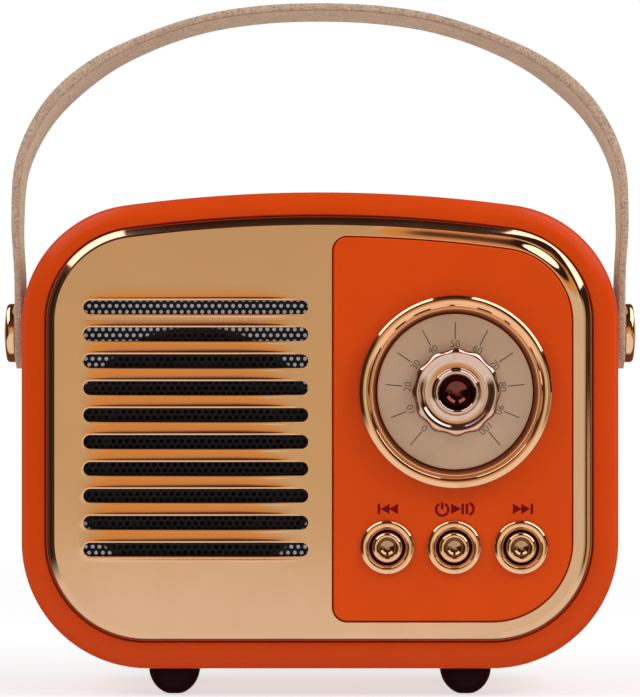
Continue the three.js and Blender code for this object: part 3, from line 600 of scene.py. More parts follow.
def rear_panel():
    """The rear cover with its vents, socket openings and screw wells."""
    inner_y, back_y = REAR_Y - 1.6, corners("rear_cover")[1].y
    edge, round_r, bevel = COVER_REBATE + 0.15, 0.7, 0.18
    shell = Shell()
    outer = [(edge, inner_y), (edge, REAR_Y - 0.1)]
    outer += [(edge + inset, back_y - down) for inset, down in reversed(quarter(round_r, round_r - 0.1))]
    loops = shell.chain([shell.loop(case_outline(inset), y) for inset, y in outer])
    inner_holes, back_holes = [], []

    def hole(levels):
        rings = shell.chain([shell.loop(outline, y) for outline, y in levels])
        inner_holes.append(rings[0])
        back_holes.append(rings[-1])

    for x, z, length, height in [*VENTS, (USB[0], USB[1], USB[2] + 0.6, USB[3] + 0.6)]:
        rings = [(slot_outline(x, z, length, height), inner_y)]
        rings += [
            (slot_outline(x, z, length + 2 * out, height + 2 * out), y)
            for out, y in ((0, back_y - bevel), (0.3 * bevel, back_y - 0.3 * bevel), (bevel, back_y))
        ]
        hole(rings)
    hole([(circle(AUX_X, AUX_Z, AUX_R + 0.3 + out, 48), y)
          for out, y in ((0, inner_y), (0, back_y - bevel), (bevel, back_y))])
    for name in SCREW_NAMES:
        spot = middle(name)
        floor = back_y - SCREW_SINK
        levels = [(SCREW_HOLE_R, inner_y), (SCREW_HOLE_R, floor), (SCREW_WELL_R, floor),
                  (SCREW_WELL_R, back_y - bevel), (SCREW_WELL_R + bevel, back_y)]
        hole([(circle(spot.x, spot.z, r, 48), y) for r, y in levels])
    shell.cap(loops[0], inner_holes)
    shell.cap(loops[-1], back_holes)
    shell.build("rear_panel", ORANGE, "orange_case", replaces=["rear_cover"], weighted=True)


def vent_cloth():
    """A black dust cloth inside the vents."""
    y = REAR_Y - 1.72
    shell = Shell()
    outline = [(-17, 47.5), (17, 47.5), (17, 72.5), (-17, 72.5)]
    rings = shell.chain([shell.loop(outline, y), shell.loop(outline, y + 0.1)])
    shell.cap(rings[0])
    shell.cap(rings[1])
    shell.build("vent_cloth", CLOTH, "black_plastic")


def rear_screw(name):
    """A pan-head screw with a cross recess."""
    spot = middle(name)
    low, high = corners(name)
    head_r = (high.x - low.x) / 2
    floor = high.y - 1.15
    profile = [(0, low.y), (0.5, low.y + 0.4), (1.1, low.y + 1.2), (1.1, floor), (head_r, floor)]
    profile += [(head_r - 0.7 * t, high.y - 0.55 * (1 - t * t)) for t in (0, 0.25, 0.5, 0.75)]
    profile += [(head_r * 0.5, high.y), (0, high.y)]
    obj = turned(profile, spot.x, spot.z, 48).build(name + "_detail", STEEL, "steel", replaces=[name])
    for turn in (0, 90):
        cut(obj, cross_cutter(spot, high.y, turn + 20))


def cross_cutter(spot, top_y, turn):
    bm = bmesh.new()
    bmesh.ops.create_cube(bm, size=1.0)
    shape = Matrix.Diagonal((0.34, 1.5, 2.3, 1.0))
    spin = Matrix.Rotation(math.radians(turn), 4, "Y")
    bm.transform(Matrix.Scale(MM, 4) @ Matrix.Translation((spot.x, top_y, spot.z)) @ spin @ shape)
    return bm


def cut(obj, cutter_bm):
    """Takes a cutter's shape out of an object's mesh, in place."""
    cutter_mesh = bpy.data.meshes.new("cutter")
    cutter_bm.to_mesh(cutter_mesh)
    cutter_bm.free()
    cutter = new_object("cutter", cutter_mesh)
    modifier = obj.modifiers.new("cut", "BOOLEAN")
    modifier.object = cutter
    modifier.solver = "EXACT"
    result = finished_mesh(obj)
    obj.modifiers.remove(modifier)
    old = obj.data
    obj.data = result
    bpy.data.meshes.remove(old)
    bpy.data.objects.remove(cutter)
    bpy.data.meshes.remove(cutter_mesh)
    obj.data.set_sharp_from_angle(angle=math.radians(35))


# ---- front plate and speaker mesh

PLATE_EDGE = 4.35
ROLL = 1.5
PLATE_POCKET = 6.5

# The lip of a speaker slot: distance out from the slot's edge, and height above the plate.
SLOT_LIP = [
    (0.00, -0.12), (0.04, 0.0), (0.10, 0.06), (0.18, 0.10), (0.27, 0.117), (0.33, 0.113), (0.38, 0.098),
    (0.43, 0.074), (0.49, 0.052), (0.55, 0.038), (0.65, 0.024), (0.80, 0.010), (0.95, 0.003), (1.08, 0.0),
]


def smooth(low, high, value):
    t = max(0.0, min(1.0, (value - low) / (high - low)))
    return t * t * (3 - 2 * t)


def steps_between(table, place):
    """The value at a place in a table of (place, value) pairs."""
    for (a, low), (b, high) in zip(table, table[1:]):
        if place <= b:
            return low + (high - low) * max(0.0, place - a) / (b - a)
    return table[-1][1]


# The fine ridge below the last slot, in the same way.
LAST_RIDGE = [(0.0, 0.0), (0.43, 0.0), (0.55, 0.03), (0.65, 0.06), (0.8, 0.025), (0.9, 0.0)]

SLOT_REACH = 2.6  # how far from a slot's edge the plate is shaped
LOUVRE = 0.24  # how far the strip between two slots rises towards the lower one


def slot_rise(x, z):
    """Height of the lips and strips round the slots. They melt into the plate at the right end."""
    index = max(0, min(SLOT_COUNT - 1, round((SLOT_TOP_Z - z) / SLOT_PITCH)))
    dz = z - (SLOT_TOP_Z - SLOT_PITCH * index)
    dx = max(0.0, abs(x - SLOT_X) - (SLOT_LENGTH - SLOT_HEIGHT) / 2)
    reach = math.hypot(dx, dz)
    out = reach - SLOT_HEIGHT / 2
    if out > SLOT_REACH or out < 0:
        return 0.0
    right, left = SLOT_X + SLOT_LENGTH / 2, SLOT_X - SLOT_LENGTH / 2
    right_fade = 1 - smooth(right - 7.0, right - 1.5, x)
    left_fade = smooth(left - 0.5, left + 3.0, x)
    strip_fade = smooth(left - 2.0, left + 6.0, x) * (1 - smooth(right - 12.0, right - 1.5, x))
    above = 0.5 + 0.5 * dz / reach
    gap = SLOT_PITCH - SLOT_HEIGHT
    high = 1 - out / gap if index else 1 - smooth(0.0, 2.4, out)
    low = out / gap if index < SLOT_COUNT - 1 else 0.0
    louvre = (LOUVRE if index else 0.16 * LOUVRE) * (high * above + low * (1 - above)) * strip_fade
    lean = 0.5 + 0.5 * smooth(left, right - 8.0, x)
    lip = steps_between(SLOT_LIP, out) * lean * (0.3 + 0.7 * left_fade) * (0.2 + 0.8 * above)
    if index == SLOT_COUNT - 1:
        lip += steps_between(LAST_RIDGE, out) * (1 - above) * smooth(left, right - 8.0, x)
    return lip * right_fade + louvre


RAIL_IN, RAIL_OUT = 7.4, 5.85  # insets of the rail between the panel and the rolled edge


def corner_fall(x, z):
    """How far the rail falls away outwards near the upper right corner."""
    cx, cz = HIGH_X + FRONT_SHIFT[0], HIGH_CORNER_Z + FRONT_SHIFT[1]
    if x < 6 or z < cz:
        return 0.0
    bearing = math.degrees(math.atan2(z - cz, x - cx))
    if x > cx and bearing < 90 - ARCH_LEAN:
        inset = HIGH_R - math.hypot(x - cx, z - cz)
    else:
        inset = ARCH_R - math.hypot(x - FRONT_SHIFT[0], z - ARCH_Z - FRONT_SHIFT[1])
    share = smooth(0.0, 1.0, (RAIL_IN - inset) / (RAIL_IN - RAIL_OUT))
    amount = 0.25 * smooth(8, 18, x) * smooth(15, 60, bearing) + 0.62 * math.exp(-((bearing - 56) / 17) ** 2)
    return amount * share


def plate_rise(x, z):
    return slot_rise(x, z) - corner_fall(x, z)


def slot_loop(shell, z, out):
    """One loop round a slot, lying on the plate's relief."""
    r, half = SLOT_HEIGHT / 2 + out, (SLOT_LENGTH - SLOT_HEIGHT) / 2
    straight = [-half + 2 * half * i / 40 for i in range(1, 40)]
    points = [*arc(-half, 0, r, 90, 270, 20), *[(x, -r) for x in straight]]
    points += [*arc(half, 0, r, -90, 90, 20), *[(x, r) for x in reversed(straight)]]
    grow = 1 if out else 1 + SLOT_LIP[1][0] / r
    sink = 0 if out else -SLOT_LIP[0][1]
    made = []
    for px, pz in points:
        x = SLOT_X + px
        lift = plate_rise(x, z + pz * grow) - sink
        made.append(shell.bm.verts.new((x, PLATE_Y - lift, z + pz)))
    return made


def inside(ring, x, z):
    hit = False
    for (ax, az), (bx, bz) in zip(ring, ring[1:] + ring[:1]):
        if (az > z) != (bz > z) and x < ax + (bx - ax) * (z - az) / (bz - az):
            hit = not hit
    return hit


def relief_cap(shell, outer, holes, extra):
    """Fills the plate's front between its outer loop and its holes, through the extra points."""
    loops = [outer, *holes]
    verts = [v for ring in loops for v in ring]
    edges = []
    for ring in loops:
        start = len(edges)
        edges += [(start + i, start + (i + 1) % len(ring)) for i in range(len(ring))]
    verts += [shell.bm.verts.new((x, PLATE_Y - plate_rise(x, z), z)) for x, z in extra]
    flat = [Vector((v.co.x, v.co.z)) for v in verts]
    places, _, faces, origin, _, _ = delaunay_2d_cdt(flat, edges, [], 0, 1e-5)
    rings = [[(v.co.x, v.co.z) for v in ring] for ring in loops]
    for face in faces:
        x = sum(places[i].x for i in face) / 3
        z = sum(places[i].y for i in face) / 3
        if inside(rings[0], x, z) and not any(inside(ring, x, z) for ring in rings[1:]):
            shell.bm.faces.new([verts[origin[i][0]] for i in face])


def extra_points():
    """Points above the top slot and along the rail, where the front is not flat."""
    points = [(SLOT_X + x, SLOT_TOP_Z + SLOT_HEIGHT / 2 + rise)
              for x in range(-19, 20) for rise in (1.4, 1.75, 2.1, 2.45)]
    for k in range(1, 8):
        inset = RAIL_IN + (RAIL_OUT - RAIL_IN) * k / 8
        for x, z in front_outline(inset):
            if x > 5 and z > HIGH_CORNER_Z:
                points.append((x, z))
    return points


def rolled_edge(shell):
    """The loops of the plate's rolled edge, from its front to its foot."""
    start, steps = math.radians(32), 14
    top = front_outline(PLATE_EDGE + ROLL)
    rings = []
    for i in range(steps + 1):
        a = start + (math.pi / 2 - start) * i / steps
        inset = ROLL * (1 - math.sin(a)) / (1 - math.sin(start))
        share = math.cos(a) / math.cos(start)
        ring = []
        for (x, z), (top_x, top_z) in zip(front_outline(PLATE_EDGE + inset), top):
            top_y = PLATE_Y - plate_rise(top_x, top_z)
            ring.append(shell.bm.verts.new((x, FRONT_Y - (FRONT_Y - top_y) * share, z)))
        rings.append(ring)
    return rings


def front_plate():
    """The plated front with its rolled edge, its ten speaker slots and the opening for the panel."""
    shell = Shell()
    rings = rolled_edge(shell)
    back_y = FRONT_Y + 1.2
    section = [(PLATE_EDGE, back_y), (PLATE_POCKET, back_y), (PLATE_POCKET, FRONT_Y)]
    outer = shell.chain([*rings, *[shell.loop(front_outline(inset), y) for inset, y in section]])
    front_holes, back_holes = [], []
    lip = [(0.12 + inset, PLATE_Y + down) for inset, down in quarter(0.22, 0.22, 5)]
    rings = shell.chain([shell.loop(panel_outline(grow), y) for grow, y in [*lip, (0.12, FRONT_Y)]])
    front_holes.append(rings[0])
    back_holes.append(rings[-1])
    for i in range(SLOT_COUNT):
        z = SLOT_TOP_Z - SLOT_PITCH * i
        rings = [slot_loop(shell, z, out) for out, _ in reversed(SLOT_LIP)]
        rings.append(shell.loop([(v.co.x, v.co.z) for v in rings[-1]], FRONT_Y))
        shell.chain(rings)
        front_holes.append(rings[0])
        back_holes.append(rings[-1])
    relief_cap(shell, outer[0], front_holes, extra_points())
    shell.cap(outer[-1], back_holes)
    shell.build("front_plate", PLATE_GOLD, "plated_metal", replaces=["front_bezel"], front_y=PLATE_Y,
                rise=plate_rise)


MESH_PITCH = 1.12
MESH_ROW = 0.96
MESH_HOLE_R = 0.32
MESH_THICK = 0.22


def speaker_mesh():
    """A perforated sheet: one six-sided cell with a round hole for each hole, in staggered rows."""
    low, high = corners("grille_mesh")
    rows = int((high.z - low.z) / MESH_ROW) - 1
    columns = int((high.x - low.x) / MESH_PITCH) - 1
    half = MESH_PITCH / 2
    side_z = (MESH_ROW ** 2 - half ** 2) / (2 * MESH_ROW)
    tip_z = (MESH_ROW ** 2 + half ** 2) / (2 * MESH_ROW)
    cell = [(half, side_z), (0, tip_z), (-half, side_z), (-half, -side_z), (0, -tip_z), (half, -side_z)]
    bm = bmesh.new()
    for row in range(rows):
        for column in range(columns):
            x = low.x + MESH_PITCH * (column + 0.75 + 0.5 * (row % 2))
            z = low.z + MESH_ROW * (row + 0.8)
            mesh_cell(bm, cell, x, low.y, z)
    bmesh.ops.remove_doubles(bm, verts=bm.verts, dist=0.02)
    mesh = to_mesh(bm, "speaker_mesh")
    obj = piece("speaker_mesh", mesh, MESH_METAL, replaces=["grille_mesh"])
    sheet = obj.modifiers.new("sheet", "SOLIDIFY")
    sheet.thickness = MESH_THICK * MM
    sheet.offset = 0


def mesh_cell(bm, cell, x, y, z):
    """One cell of the sheet with a twelve-sided hole in it."""
    ring = []
    for (ax, az), (bx, bz) in zip(cell, cell[1:] + cell[:1]):
        for px, pz in ((ax, az), ((ax + bx) / 2, (az + bz) / 2)):
            share = MESH_HOLE_R / math.hypot(px, pz)
            ring.append(bm.verts.new((x + px * share, y, z + pz * share)))
    outer = [bm.verts.new((x + px, y, z + pz)) for px, pz in cell]
    for k in range(6):
        bm.faces.new([outer[k], outer[(k + 1) % 6], ring[(2 * k + 2) % 12], ring[2 * k + 1], ring[2 * k]])


# ---- control panel, icons and dial

DIAL_HOLE_R = 14.3
BUTTON_HOLE_R = 3.55
FASCIA_EDGE = 0.3


def fascia():
    """The orange control panel, a skin with a flange round its back."""
    shell = Shell()
    edge = [(-inset, PANEL_Y + down) for inset, down in quarter(FASCIA_EDGE, FASCIA_EDGE)]
    skin_y, flange_y, back_y = PANEL_Y + 1.6, FRONT_Y + 0.1, FRONT_Y + 1.1
    section = [*edge, (0, flange_y), (1, flange_y), (1, back_y), (-1.6, back_y), (-1.6, skin_y)]
    outer = shell.chain([shell.loop(panel_outline(grow), y) for grow, y in section])
    holes = [(DIAL.x, DIAL.z, DIAL_HOLE_R, 96)]
    for name in BUTTONS:
        spot = middle("button_ring_" + name)
        holes.append((spot.x, spot.z, BUTTON_HOLE_R, 48))
    front, back = [], []
    for x, z, r, steps in holes:
        rings = shell.chain([shell.loop(circle(x, z, r, steps), y) for y in (PANEL_Y, skin_y)])
        front.append(rings[0])
        back.append(rings[1])
    shell.cap(outer[0], front)
    shell.cap(outer[-1], back)
    shell.build("fascia", PANEL_ORANGE, "orange_case", replaces=["control_panel"], front_y=PANEL_Y)


def dial_trim():
    """The dial's ring: a round bead, a groove, a thin second line and a cone down to the face."""
    r_out = DIAL.x - corners("dial_ring")[0].x
    face_back = FACE_Y + 0.7
    wall = -1.95
    rim = [(r_out - 0.03, wall + 0.06), *bead(r_out - 0.07, wall, 0.84, 44)]
    inner = rim[-1][0]
    line = [(inner - 0.04, -1.5), (inner - 0.08, -1.12), (inner - 0.18, -1.0), (inner - 0.3, -1.06),
            (inner - 0.43, -1.04), (inner - 0.53, -0.85)]
    foot_y = face_back + 0.7
    profile = raised([(r_out, -0.05), (r_out, wall + 0.16), *rim, *line, (13.38, -0.5)], PANEL_Y)
    profile += [(12.72, FACE_Y - 0.1), (12.66, face_back), (11, face_back), (11, foot_y), (14.1, foot_y),
                (14.1, PANEL_Y - 0.05)]
    shell = turned(profile, DIAL.x, DIAL.z, 160)
    # The cone's faces take the darker, redder plating: painted shade and a painted reflection.
    for face in shell.bm.faces:
        spread = [math.hypot(v.co.x - DIAL.x, v.co.z - DIAL.z) for v in face.verts]
        face.material_index = 1 if max(spread) < 13.4 and min(spread) > 12.5 else 0
    shell.build("dial_trim", [ROSE_GOLD, CONE_PAINTED_SHADE], "plated_metal", replaces=["dial_ring"], sharp=40)


def dial_plate():
    back = FACE_Y + 0.6
    profile = [(3.6, FACE_Y), (12.5, FACE_Y), (12.56, FACE_Y + 0.06), (12.56, back), (3.6, back)]
    turned(profile, DIAL.x, DIAL.z, 128).build("dial_plate", CHAMPAGNE, "dial_metal", replaces=["dial_face"])


class Print:
    """Flat printed shapes, a hair above a surface that faces -Y."""

    def __init__(self, y, thick=0.02):
        self.bm = bmesh.new()
        self.y, self.thick = y, thick

    def shape(self, outline, x=0.0, z=0.0, turn=0.0, lift=0.0):
        """turn is clockwise as seen from the front, in degrees. lift keeps overlapping shapes apart."""
        a = math.radians(turn)
        points = [(x + px * math.cos(a) + pz * math.sin(a), z - px * math.sin(a) + pz * math.cos(a))
                  for px, pz in outline]
        front = [self.bm.verts.new((px, self.y - self.thick - lift, pz)) for px, pz in points]
        back = [self.bm.verts.new((px, self.y, pz)) for px, pz in points]
        flat = [Vector((px, pz, 0)) for px, pz in points]
        for tri in tessellate_polygon([flat]):
            self.bm.faces.new([front[i] for i in tri])
            self.bm.faces.new([back[i] for i in reversed(tri)])
        n = len(points)
        for i in range(n):
            self.bm.faces.new([front[i], back[i], back[(i + 1) % n], front[(i + 1) % n]])

    def text(self, body, height, x, z, turn):
        curve = bpy.data.curves.new("digits", "FONT")
        curve.body = body
        curve.align_x = "CENTER"
        curve.align_y = "CENTER"
        curve.size = height * 1.38
        curve.offset = -0.018 * height
        curve.extrude = self.thick / 2
        made = new_object("digits", curve)
        mesh = finished_mesh(made)
        stand = Matrix.Rotation(math.pi / 2, 4, "X")
        spin = Matrix.Rotation(math.radians(turn), 4, "Y")
        mesh.transform(Matrix.Translation((x, self.y - self.thick / 2, z)) @ spin @ stand)
        self.bm.from_mesh(mesh)
        bpy.data.objects.remove(made)
        bpy.data.curves.remove(curve)
        bpy.data.meshes.remove(mesh)

    def build(self, name, material, slot):
        return piece(name, to_mesh(self.bm, name), material, sharp=30)


def bar(x0, x1, height):
    return [(x0, -height / 2), (x1, -height / 2), (x1, height / 2), (x0, height / 2)]


def curved_bar(r, width, start, end):
    return arc(0, 0, r + width / 2, start, end, 20) + arc(0, 0, r - width / 2, end, start, 20)


TICK_R, DIGIT_R = 9.97, 7.75


def dial_scale():
    """Ticks and the numbers 0 to 100, over the knob's whole turn."""
    ink = Print(FACE_Y)
    for i in range(11):
        turn = -140 + 28 * i
        a = math.radians(turn)
        ink.shape(bar(-0.075, 0.075, 2.8), DIAL.x + TICK_R * math.sin(a), DIAL.z + TICK_R * math.cos(a), turn)
        ink.text(str(10 * i), 1.2, DIAL.x + DIGIT_R * math.sin(a), DIAL.z + DIGIT_R * math.cos(a), turn)
    ink.build("dial_scale", SCALE_INK, "black_plastic")


def icons():
    """The usual signs for previous, power with play and pause, and next."""
    z, height, bold = 30.92, 1.7, 0.4
    spots = [middle("button_ring_" + name).x for name in BUTTONS]
    skip = [bar(-1.7, -1.3, height), [(-1.22, 0), (0.22, -height / 2), (0.22, height / 2)],
            [(0.12, 0), (1.6, -height / 2), (1.6, height / 2)]]
    for name, x, side in (("icon_previous", spots[0] + 0.15, 1), ("icon_next", spots[2] + 0.27, -1)):
        ink = Print(PANEL_Y)
        for outline in skip:
            ink.shape([(side * px, pz) for px, pz in outline], x, z)
        ink.build(name, ICON_INK, "black_plastic")
    ink = Print(PANEL_Y)
    play_x = spots[1] + 0.3
    ink.shape(curved_bar(1.0, bold, 118, 422), play_x - 2.25, z - 0.1)
    ink.shape(bar(-bold / 2, bold / 2, 1.1), play_x - 2.25, z + 0.5, lift=0.01)
    ink.shape([(-0.8, -height / 2), (-0.8, height / 2), (0.85, 0)], play_x, z)
    for x in (0.9, 1.58):
        ink.shape(bar(0, bold, height), play_x + x, z)
    ink.shape(curved_bar(1.05, bold, -52, 52), play_x + 1.8, z)
    for end in (-1, 1):
        ink.shape(bar(-0.3, 0.3, 0.42), play_x + 2.45, z + 0.8 * end, 40 * end, 0.01)
    ink.build("icon_play", ICON_INK, "black_plastic")


# ---- knob and buttons

KNOB_LOBES = 12
KNOB_STEPS = 144

# The knob from its skirt to the edge of its dish: radius, depth behind the tip, share of the lobes' depth.
KNOB_RIM = [
    (7.2, 2.3, 1.0), (7.17, 1.98, 1.0), (7.02, 1.68, 0.9), (6.85, 1.46, 0.7), (6.68, 1.31, 0.45),
    (6.5, 1.23, 0.2), (6.3, 1.2, 0.0), (6.18, 1.21, 0.0), (6.06, 1.25, 0.0), (5.92, 1.31, 0.0),
    (5.7, 1.42, 0.0), (5.45, 1.55, 0.0), (5.28, 1.63, 0.0), (5.14, 1.68, 0.0), (5.0, 1.7, 0.0),
    (4.0, 1.71, 0.0), (3.87, 1.66, 0.0), (3.77, 1.5, 0.0), (3.71, 1.2, 0.0), (3.69, 0.6, 0.0),
    (3.65, 0.34, 0.0), (3.56, 0.15, 0.0), (3.43, 0.04, 0.0), (3.28, 0.0, 0.0), (3.13, 0.03, 0.0),
    (3.02, 0.1, 0.0), (2.96, 0.2, 0.0), (2.96, 2.38, 0.0), (0.0, 2.38, 0.0),
]


def lobed(r, depth):
    """A circle about the dial's axis with shallow finger lobes."""
    points = []
    for i in range(KNOB_STEPS):
        a = 2 * math.pi * i / KNOB_STEPS
        reach = r - depth * (0.5 - 0.5 * math.cos(KNOB_LOBES * a))
        points.append((DIAL.x + reach * math.cos(a), DIAL.z + reach * math.sin(a)))
    return points


def dish(radius, edge_y, opening):
    """A dish as part of a sphere, from its middle to its edge. opening is half its angle in degrees."""
    a = math.radians(opening)
    ball = radius / math.sin(a)
    steps = 18
    return [(ball * math.sin(a * i / steps), edge_y + ball * (math.cos(a * i / steps) - math.cos(a)))
            for i in range(steps + 1)]


def knob():
    """The lobed knob with a crown round its bore, and the dish set into the bore."""
    lobe_depth = 0.32
    skirt_y = FACE_Y - 0.7
    levels = [(3.1, skirt_y, 0), (6.95, skirt_y, 0.7), (7.2, skirt_y - 0.25, 1.0)]
    levels += [(r, KNOB_TIP + back, share) for r, back, share in KNOB_RIM]
    shell = Shell()
    loops = [shell.loop(lobed(r, share * lobe_depth) if r > 0 else [(DIAL.x, DIAL.z)], y)
             for r, y, share in levels]
    shell.chain(loops)
    bore_y = KNOB_TIP + 3.2
    shell.chain([loops[0], shell.loop(lobed(3.1, 0), bore_y), shell.loop([(DIAL.x, DIAL.z)], bore_y)])
    shell.build("knob_detail", KNOB_GOLD, "plated_metal", "knob", ["tuning_knob"], sharp=50)
    # The dish is plated darker: painted shade inside the deep cup.
    profile = dish(2.8, KNOB_TIP + 0.16, 70)
    profile += raised([(2.88, 0.14), (2.92, 0.24), (2.92, 2.34), (0, 2.34)], KNOB_TIP)
    turned(profile, DIAL.x, DIAL.z, 96).build(
        "knob_dish", KNOB_DISH_PAINTED_SHADE, "plated_metal", "knob", ["knob_insert"], sharp=50)


def button_trim(name):
    """A button's ring: a bead, a groove, a thin second line and the bore."""
    node = "button_ring_" + name
    spot = middle(node)
    ring_r = spot.x - corners(node)[0].x
    back = corners(node)[1].y
    rim = bead(ring_r - 0.05, PANEL_Y - 0.5, (ring_r - 3.2) / 2, 46)
    line = [(3.12, -0.36), (3.08, -0.3), (3.03, -0.42), (2.97, -0.47), (2.9, -0.43), (2.86, -0.3),
            (2.86, 1.4), (3.12, 1.5)]
    ring = raised([(ring_r, -0.05), (ring_r, -0.38), (ring_r - 0.02, -0.46)], PANEL_Y)
    ring += [*rim, *raised(line, PANEL_Y), (3.12, back), (3.4, back), (3.4, PANEL_Y - 0.05)]
    turned(ring, spot.x, spot.z, 96).build(
        f"button_trim_{name}", ROSE_GOLD, "plated_metal", replaces=[node], sharp=45)


def button_top(name):
    """A button's cap: a dish in a rounded rim, and a flange and stem behind the ring."""
    node = "button_cap_" + name
    spot = middle("button_ring_" + name)
    front, end = corners(node)[0].y, corners(node)[1].y
    flange, stem = PANEL_Y + 2.2, PANEL_Y + 2.9
    profile = dish(1.72, front + 0.05, 66)
    profile += raised([(1.8, 0.01), (1.95, 0), (2.1, 0.03), (2.26, 0.12), (2.4, 0.28), (2.47, 0.48),
                       (2.5, 0.75)], front)
    profile += [(2.5, flange), (3.35, flange), (3.35, stem), (1.2, stem), (1.2, end), (0, end)]
    shell = turned(profile, spot.x, spot.z, 72)
    # The dish inside the rim is plated darker: painted shade.
    for face in shell.bm.faces:
        reach = max(math.hypot(v.co.x - spot.x, v.co.z - spot.z) for v in face.verts)
        deep = max(v.co.y for v in face.verts) > front + 1.5
        face.material_index = 2 if deep and reach > 2.4 else (0 if reach > 1.75 else 1)
    # The flange's dark finish is painted shade in the gap round the cap.
    shell.build(f"button_top_{name}", [ROSE_GOLD, BUTTON_DISH_PAINTED_SHADE, GAP_PAINTED_SHADE], "plated_metal",
                f"{name}_button", [node], sharp=45)


# ---- feet, strap screws and sockets


def foot(name):
    """A rubber dome with a flat sole and a peg that snaps into the case."""
    low, high = corners(name)
    spot = (low + high) / 2
    r = (high.x - low.x) / 2
    flat_r, top = 1.3, BOTTOM_Z - 0.1
    start = math.acos(flat_r / r)
    angles = [start * (1 - i / 18) for i in range(19)]
    dome = [(r * math.cos(a), top * (1 - math.sin(a) / math.sin(start))) for a in angles]
    profile = [(0, 0), *dome, (1.8, top), (1.8, 6.7), (2.3, 6.8), (1.6, 7.6), (0, 7.6)]
    lift = Matrix.Translation((spot.x, spot.y, 0)) @ Matrix.Rotation(math.pi / 2, 4, "X")
    turned(profile, 0, 0, 64).build(name + "_pad", RUBBER, "foot_rubber", replaces=[name], place=lift)


SCREW_SEAT, SPACER_X = 51.35, 49.05  # out from the middle: the outer face of the strap, and of the case


def strap_fittings(side, sign):
    """A dome-head screw and the spacer between the strap and the case."""
    low, high = corners("strap_screw_" + side)
    tip, shank = max(abs(low.x), abs(high.x)), min(abs(low.x), abs(high.x))
    dome = [(4.5 + 0.5 * math.cos(a), tip - 1.2 + 0.75 * math.sin(a))
            for a in (math.radians(9 * i) for i in range(9))]
    crown = [(4.2 * (1 - t), tip - 0.42 * (1 - t) ** 2 * 0.95) for t in (0.0, 0.2, 0.4, 0.6, 0.8)]
    screw = [(0, shank), (1.3, shank), (1.5, shank + 0.3), (1.5, SCREW_SEAT), (4.8, SCREW_SEAT),
             (4.95, SCREW_SEAT + 0.12), *dome, *crown, (0, tip)]
    spacer = raised([(1.7, 0), (4.1, 0), (4.2, 0.1), (4.2, 0.7), (4.1, 0.8), (1.7, 0.8)], SPACER_X)
    for name, node, profile, steps in (("strap_screw_head_", "strap_screw_", screw, 80),
                                       ("strap_spacer_", "strap_washer_", spacer, 64)):
        turned(profile, 0, 0, steps).build(name + side, ROSE_GOLD, "plated_metal", replaces=[node + side],
                                           place=along_x(sign), sharp=40)


def sockets():
    """The charging socket's shell with its tongue, and the audio socket's collar."""
    x, z, width, height = USB
    low, high = corners("usb_port")
    shell = Shell()
    mouth_y = low.y + 1
    rings = shell.chain([
        shell.loop(slot_outline(x, z, width, height, out), y)
        for out, y in ((0, low.y), (0, high.y - 0.08), (-0.08, high.y), (-0.27, high.y),
                       (-0.35, high.y - 0.08), (-0.35, mouth_y))
    ])
    shell.cap(rings[0])
    shell.cap(rings[-1])
    shell.build("usb_shell", STEEL, "steel", replaces=["usb_port"])
    tongue = Shell()
    loops = tongue.chain([tongue.loop(slot_outline(x, z, 6.4 - 2 * s, 0.7 - 2 * s, 0, 6), y)
                          for s, y in ((0, mouth_y + 0.05), (0, high.y - 1.0), (0.12, high.y - 0.9))])
    tongue.cap(loops[0])
    tongue.cap(loops[-1])
    tongue.build("usb_tongue", BLACK_PLASTIC, "black_plastic")
    low, high = corners("aux_jack")
    nose = [(1.75, high.y - 6), (1.75, high.y - 0.25), (1.95, high.y), (2.85, high.y), (3.0, high.y - 0.15),
            (3.0, high.y - 1.6), (3.2, high.y - 1.6), (3.2, high.y - 6)]
    turned(nose, AUX_X, AUX_Z, 64).build("aux_collar", BLACK_PLASTIC, "black_plastic", replaces=["aux_jack"])


# ---- strap

STRAP_HALF_WIDTH = 6.0
STRAP_HALF_THICK = 0.65
STRAP_LEAN = -math.radians(5)
EDGE_R = 0.32
ACROSS_STEPS, EDGE_STEPS = 14, 5

# The strap's middle line from the right screw to the top, as (x, height above the screws).
STRAP_LINE = [
    (50.6, -7.0), (50.6, 0.0), (50.7, 9.0), (51.2, 18.9), (50.3, 29.0), (45.7, 38.0), (37.9, 45.1),
    (28.8, 49.8), (19.3, 52.9), (9.6, 54.4),
]


STRAP_TOP = (0, 54.8)
STRAP_STEP = 0.45  # between cross-sections


def strap_path():
    """The strap's middle line as fine points with their lengths along it, and the evenly spaced places of its
    cross-sections, from one round end to the other. The line is a centripetal spline."""
    half = [Vector((x, h)) for x, h in STRAP_LINE]
    line = [*half, Vector(STRAP_TOP), *[Vector((-p.x, p.y)) for p in reversed(half)]]
    line = [line[0] * 2 - line[1], *line, line[-1] * 2 - line[-2]]
    fine = []
    for p0, p1, p2, p3 in zip(line, line[1:], line[2:], line[3:]):
        t1 = math.sqrt((p1 - p0).length)
        t2 = t1 + math.sqrt((p2 - p1).length)
        t3 = t2 + math.sqrt((p3 - p2).length)
        for k in range(40):
            t = t1 + (t2 - t1) * k / 40
            a1 = p0.lerp(p1, t / t1)
            a2 = p1.lerp(p2, (t - t1) / (t2 - t1))
            a3 = p2.lerp(p3, (t - t2) / (t3 - t2))
            b1 = a1.lerp(a2, t / t2)
            b2 = a2.lerp(a3, (t - t1) / (t3 - t1))
            fine.append(b1.lerp(b2, (t - t1) / (t2 - t1)))
    fine.append(line[-2])
    lengths = [0.0]
    for a, b in zip(fine, fine[1:]):
        lengths.append(lengths[-1] + (b - a).length)
    tail = -STRAP_LINE[0][1] - STRAP_HALF_WIDTH
    start, end = tail, lengths[-1] - tail
    count = int((end - start) / STRAP_STEP)
    places = [start + (end - start) * i / count for i in range(count + 1)]
    return fine, lengths, places


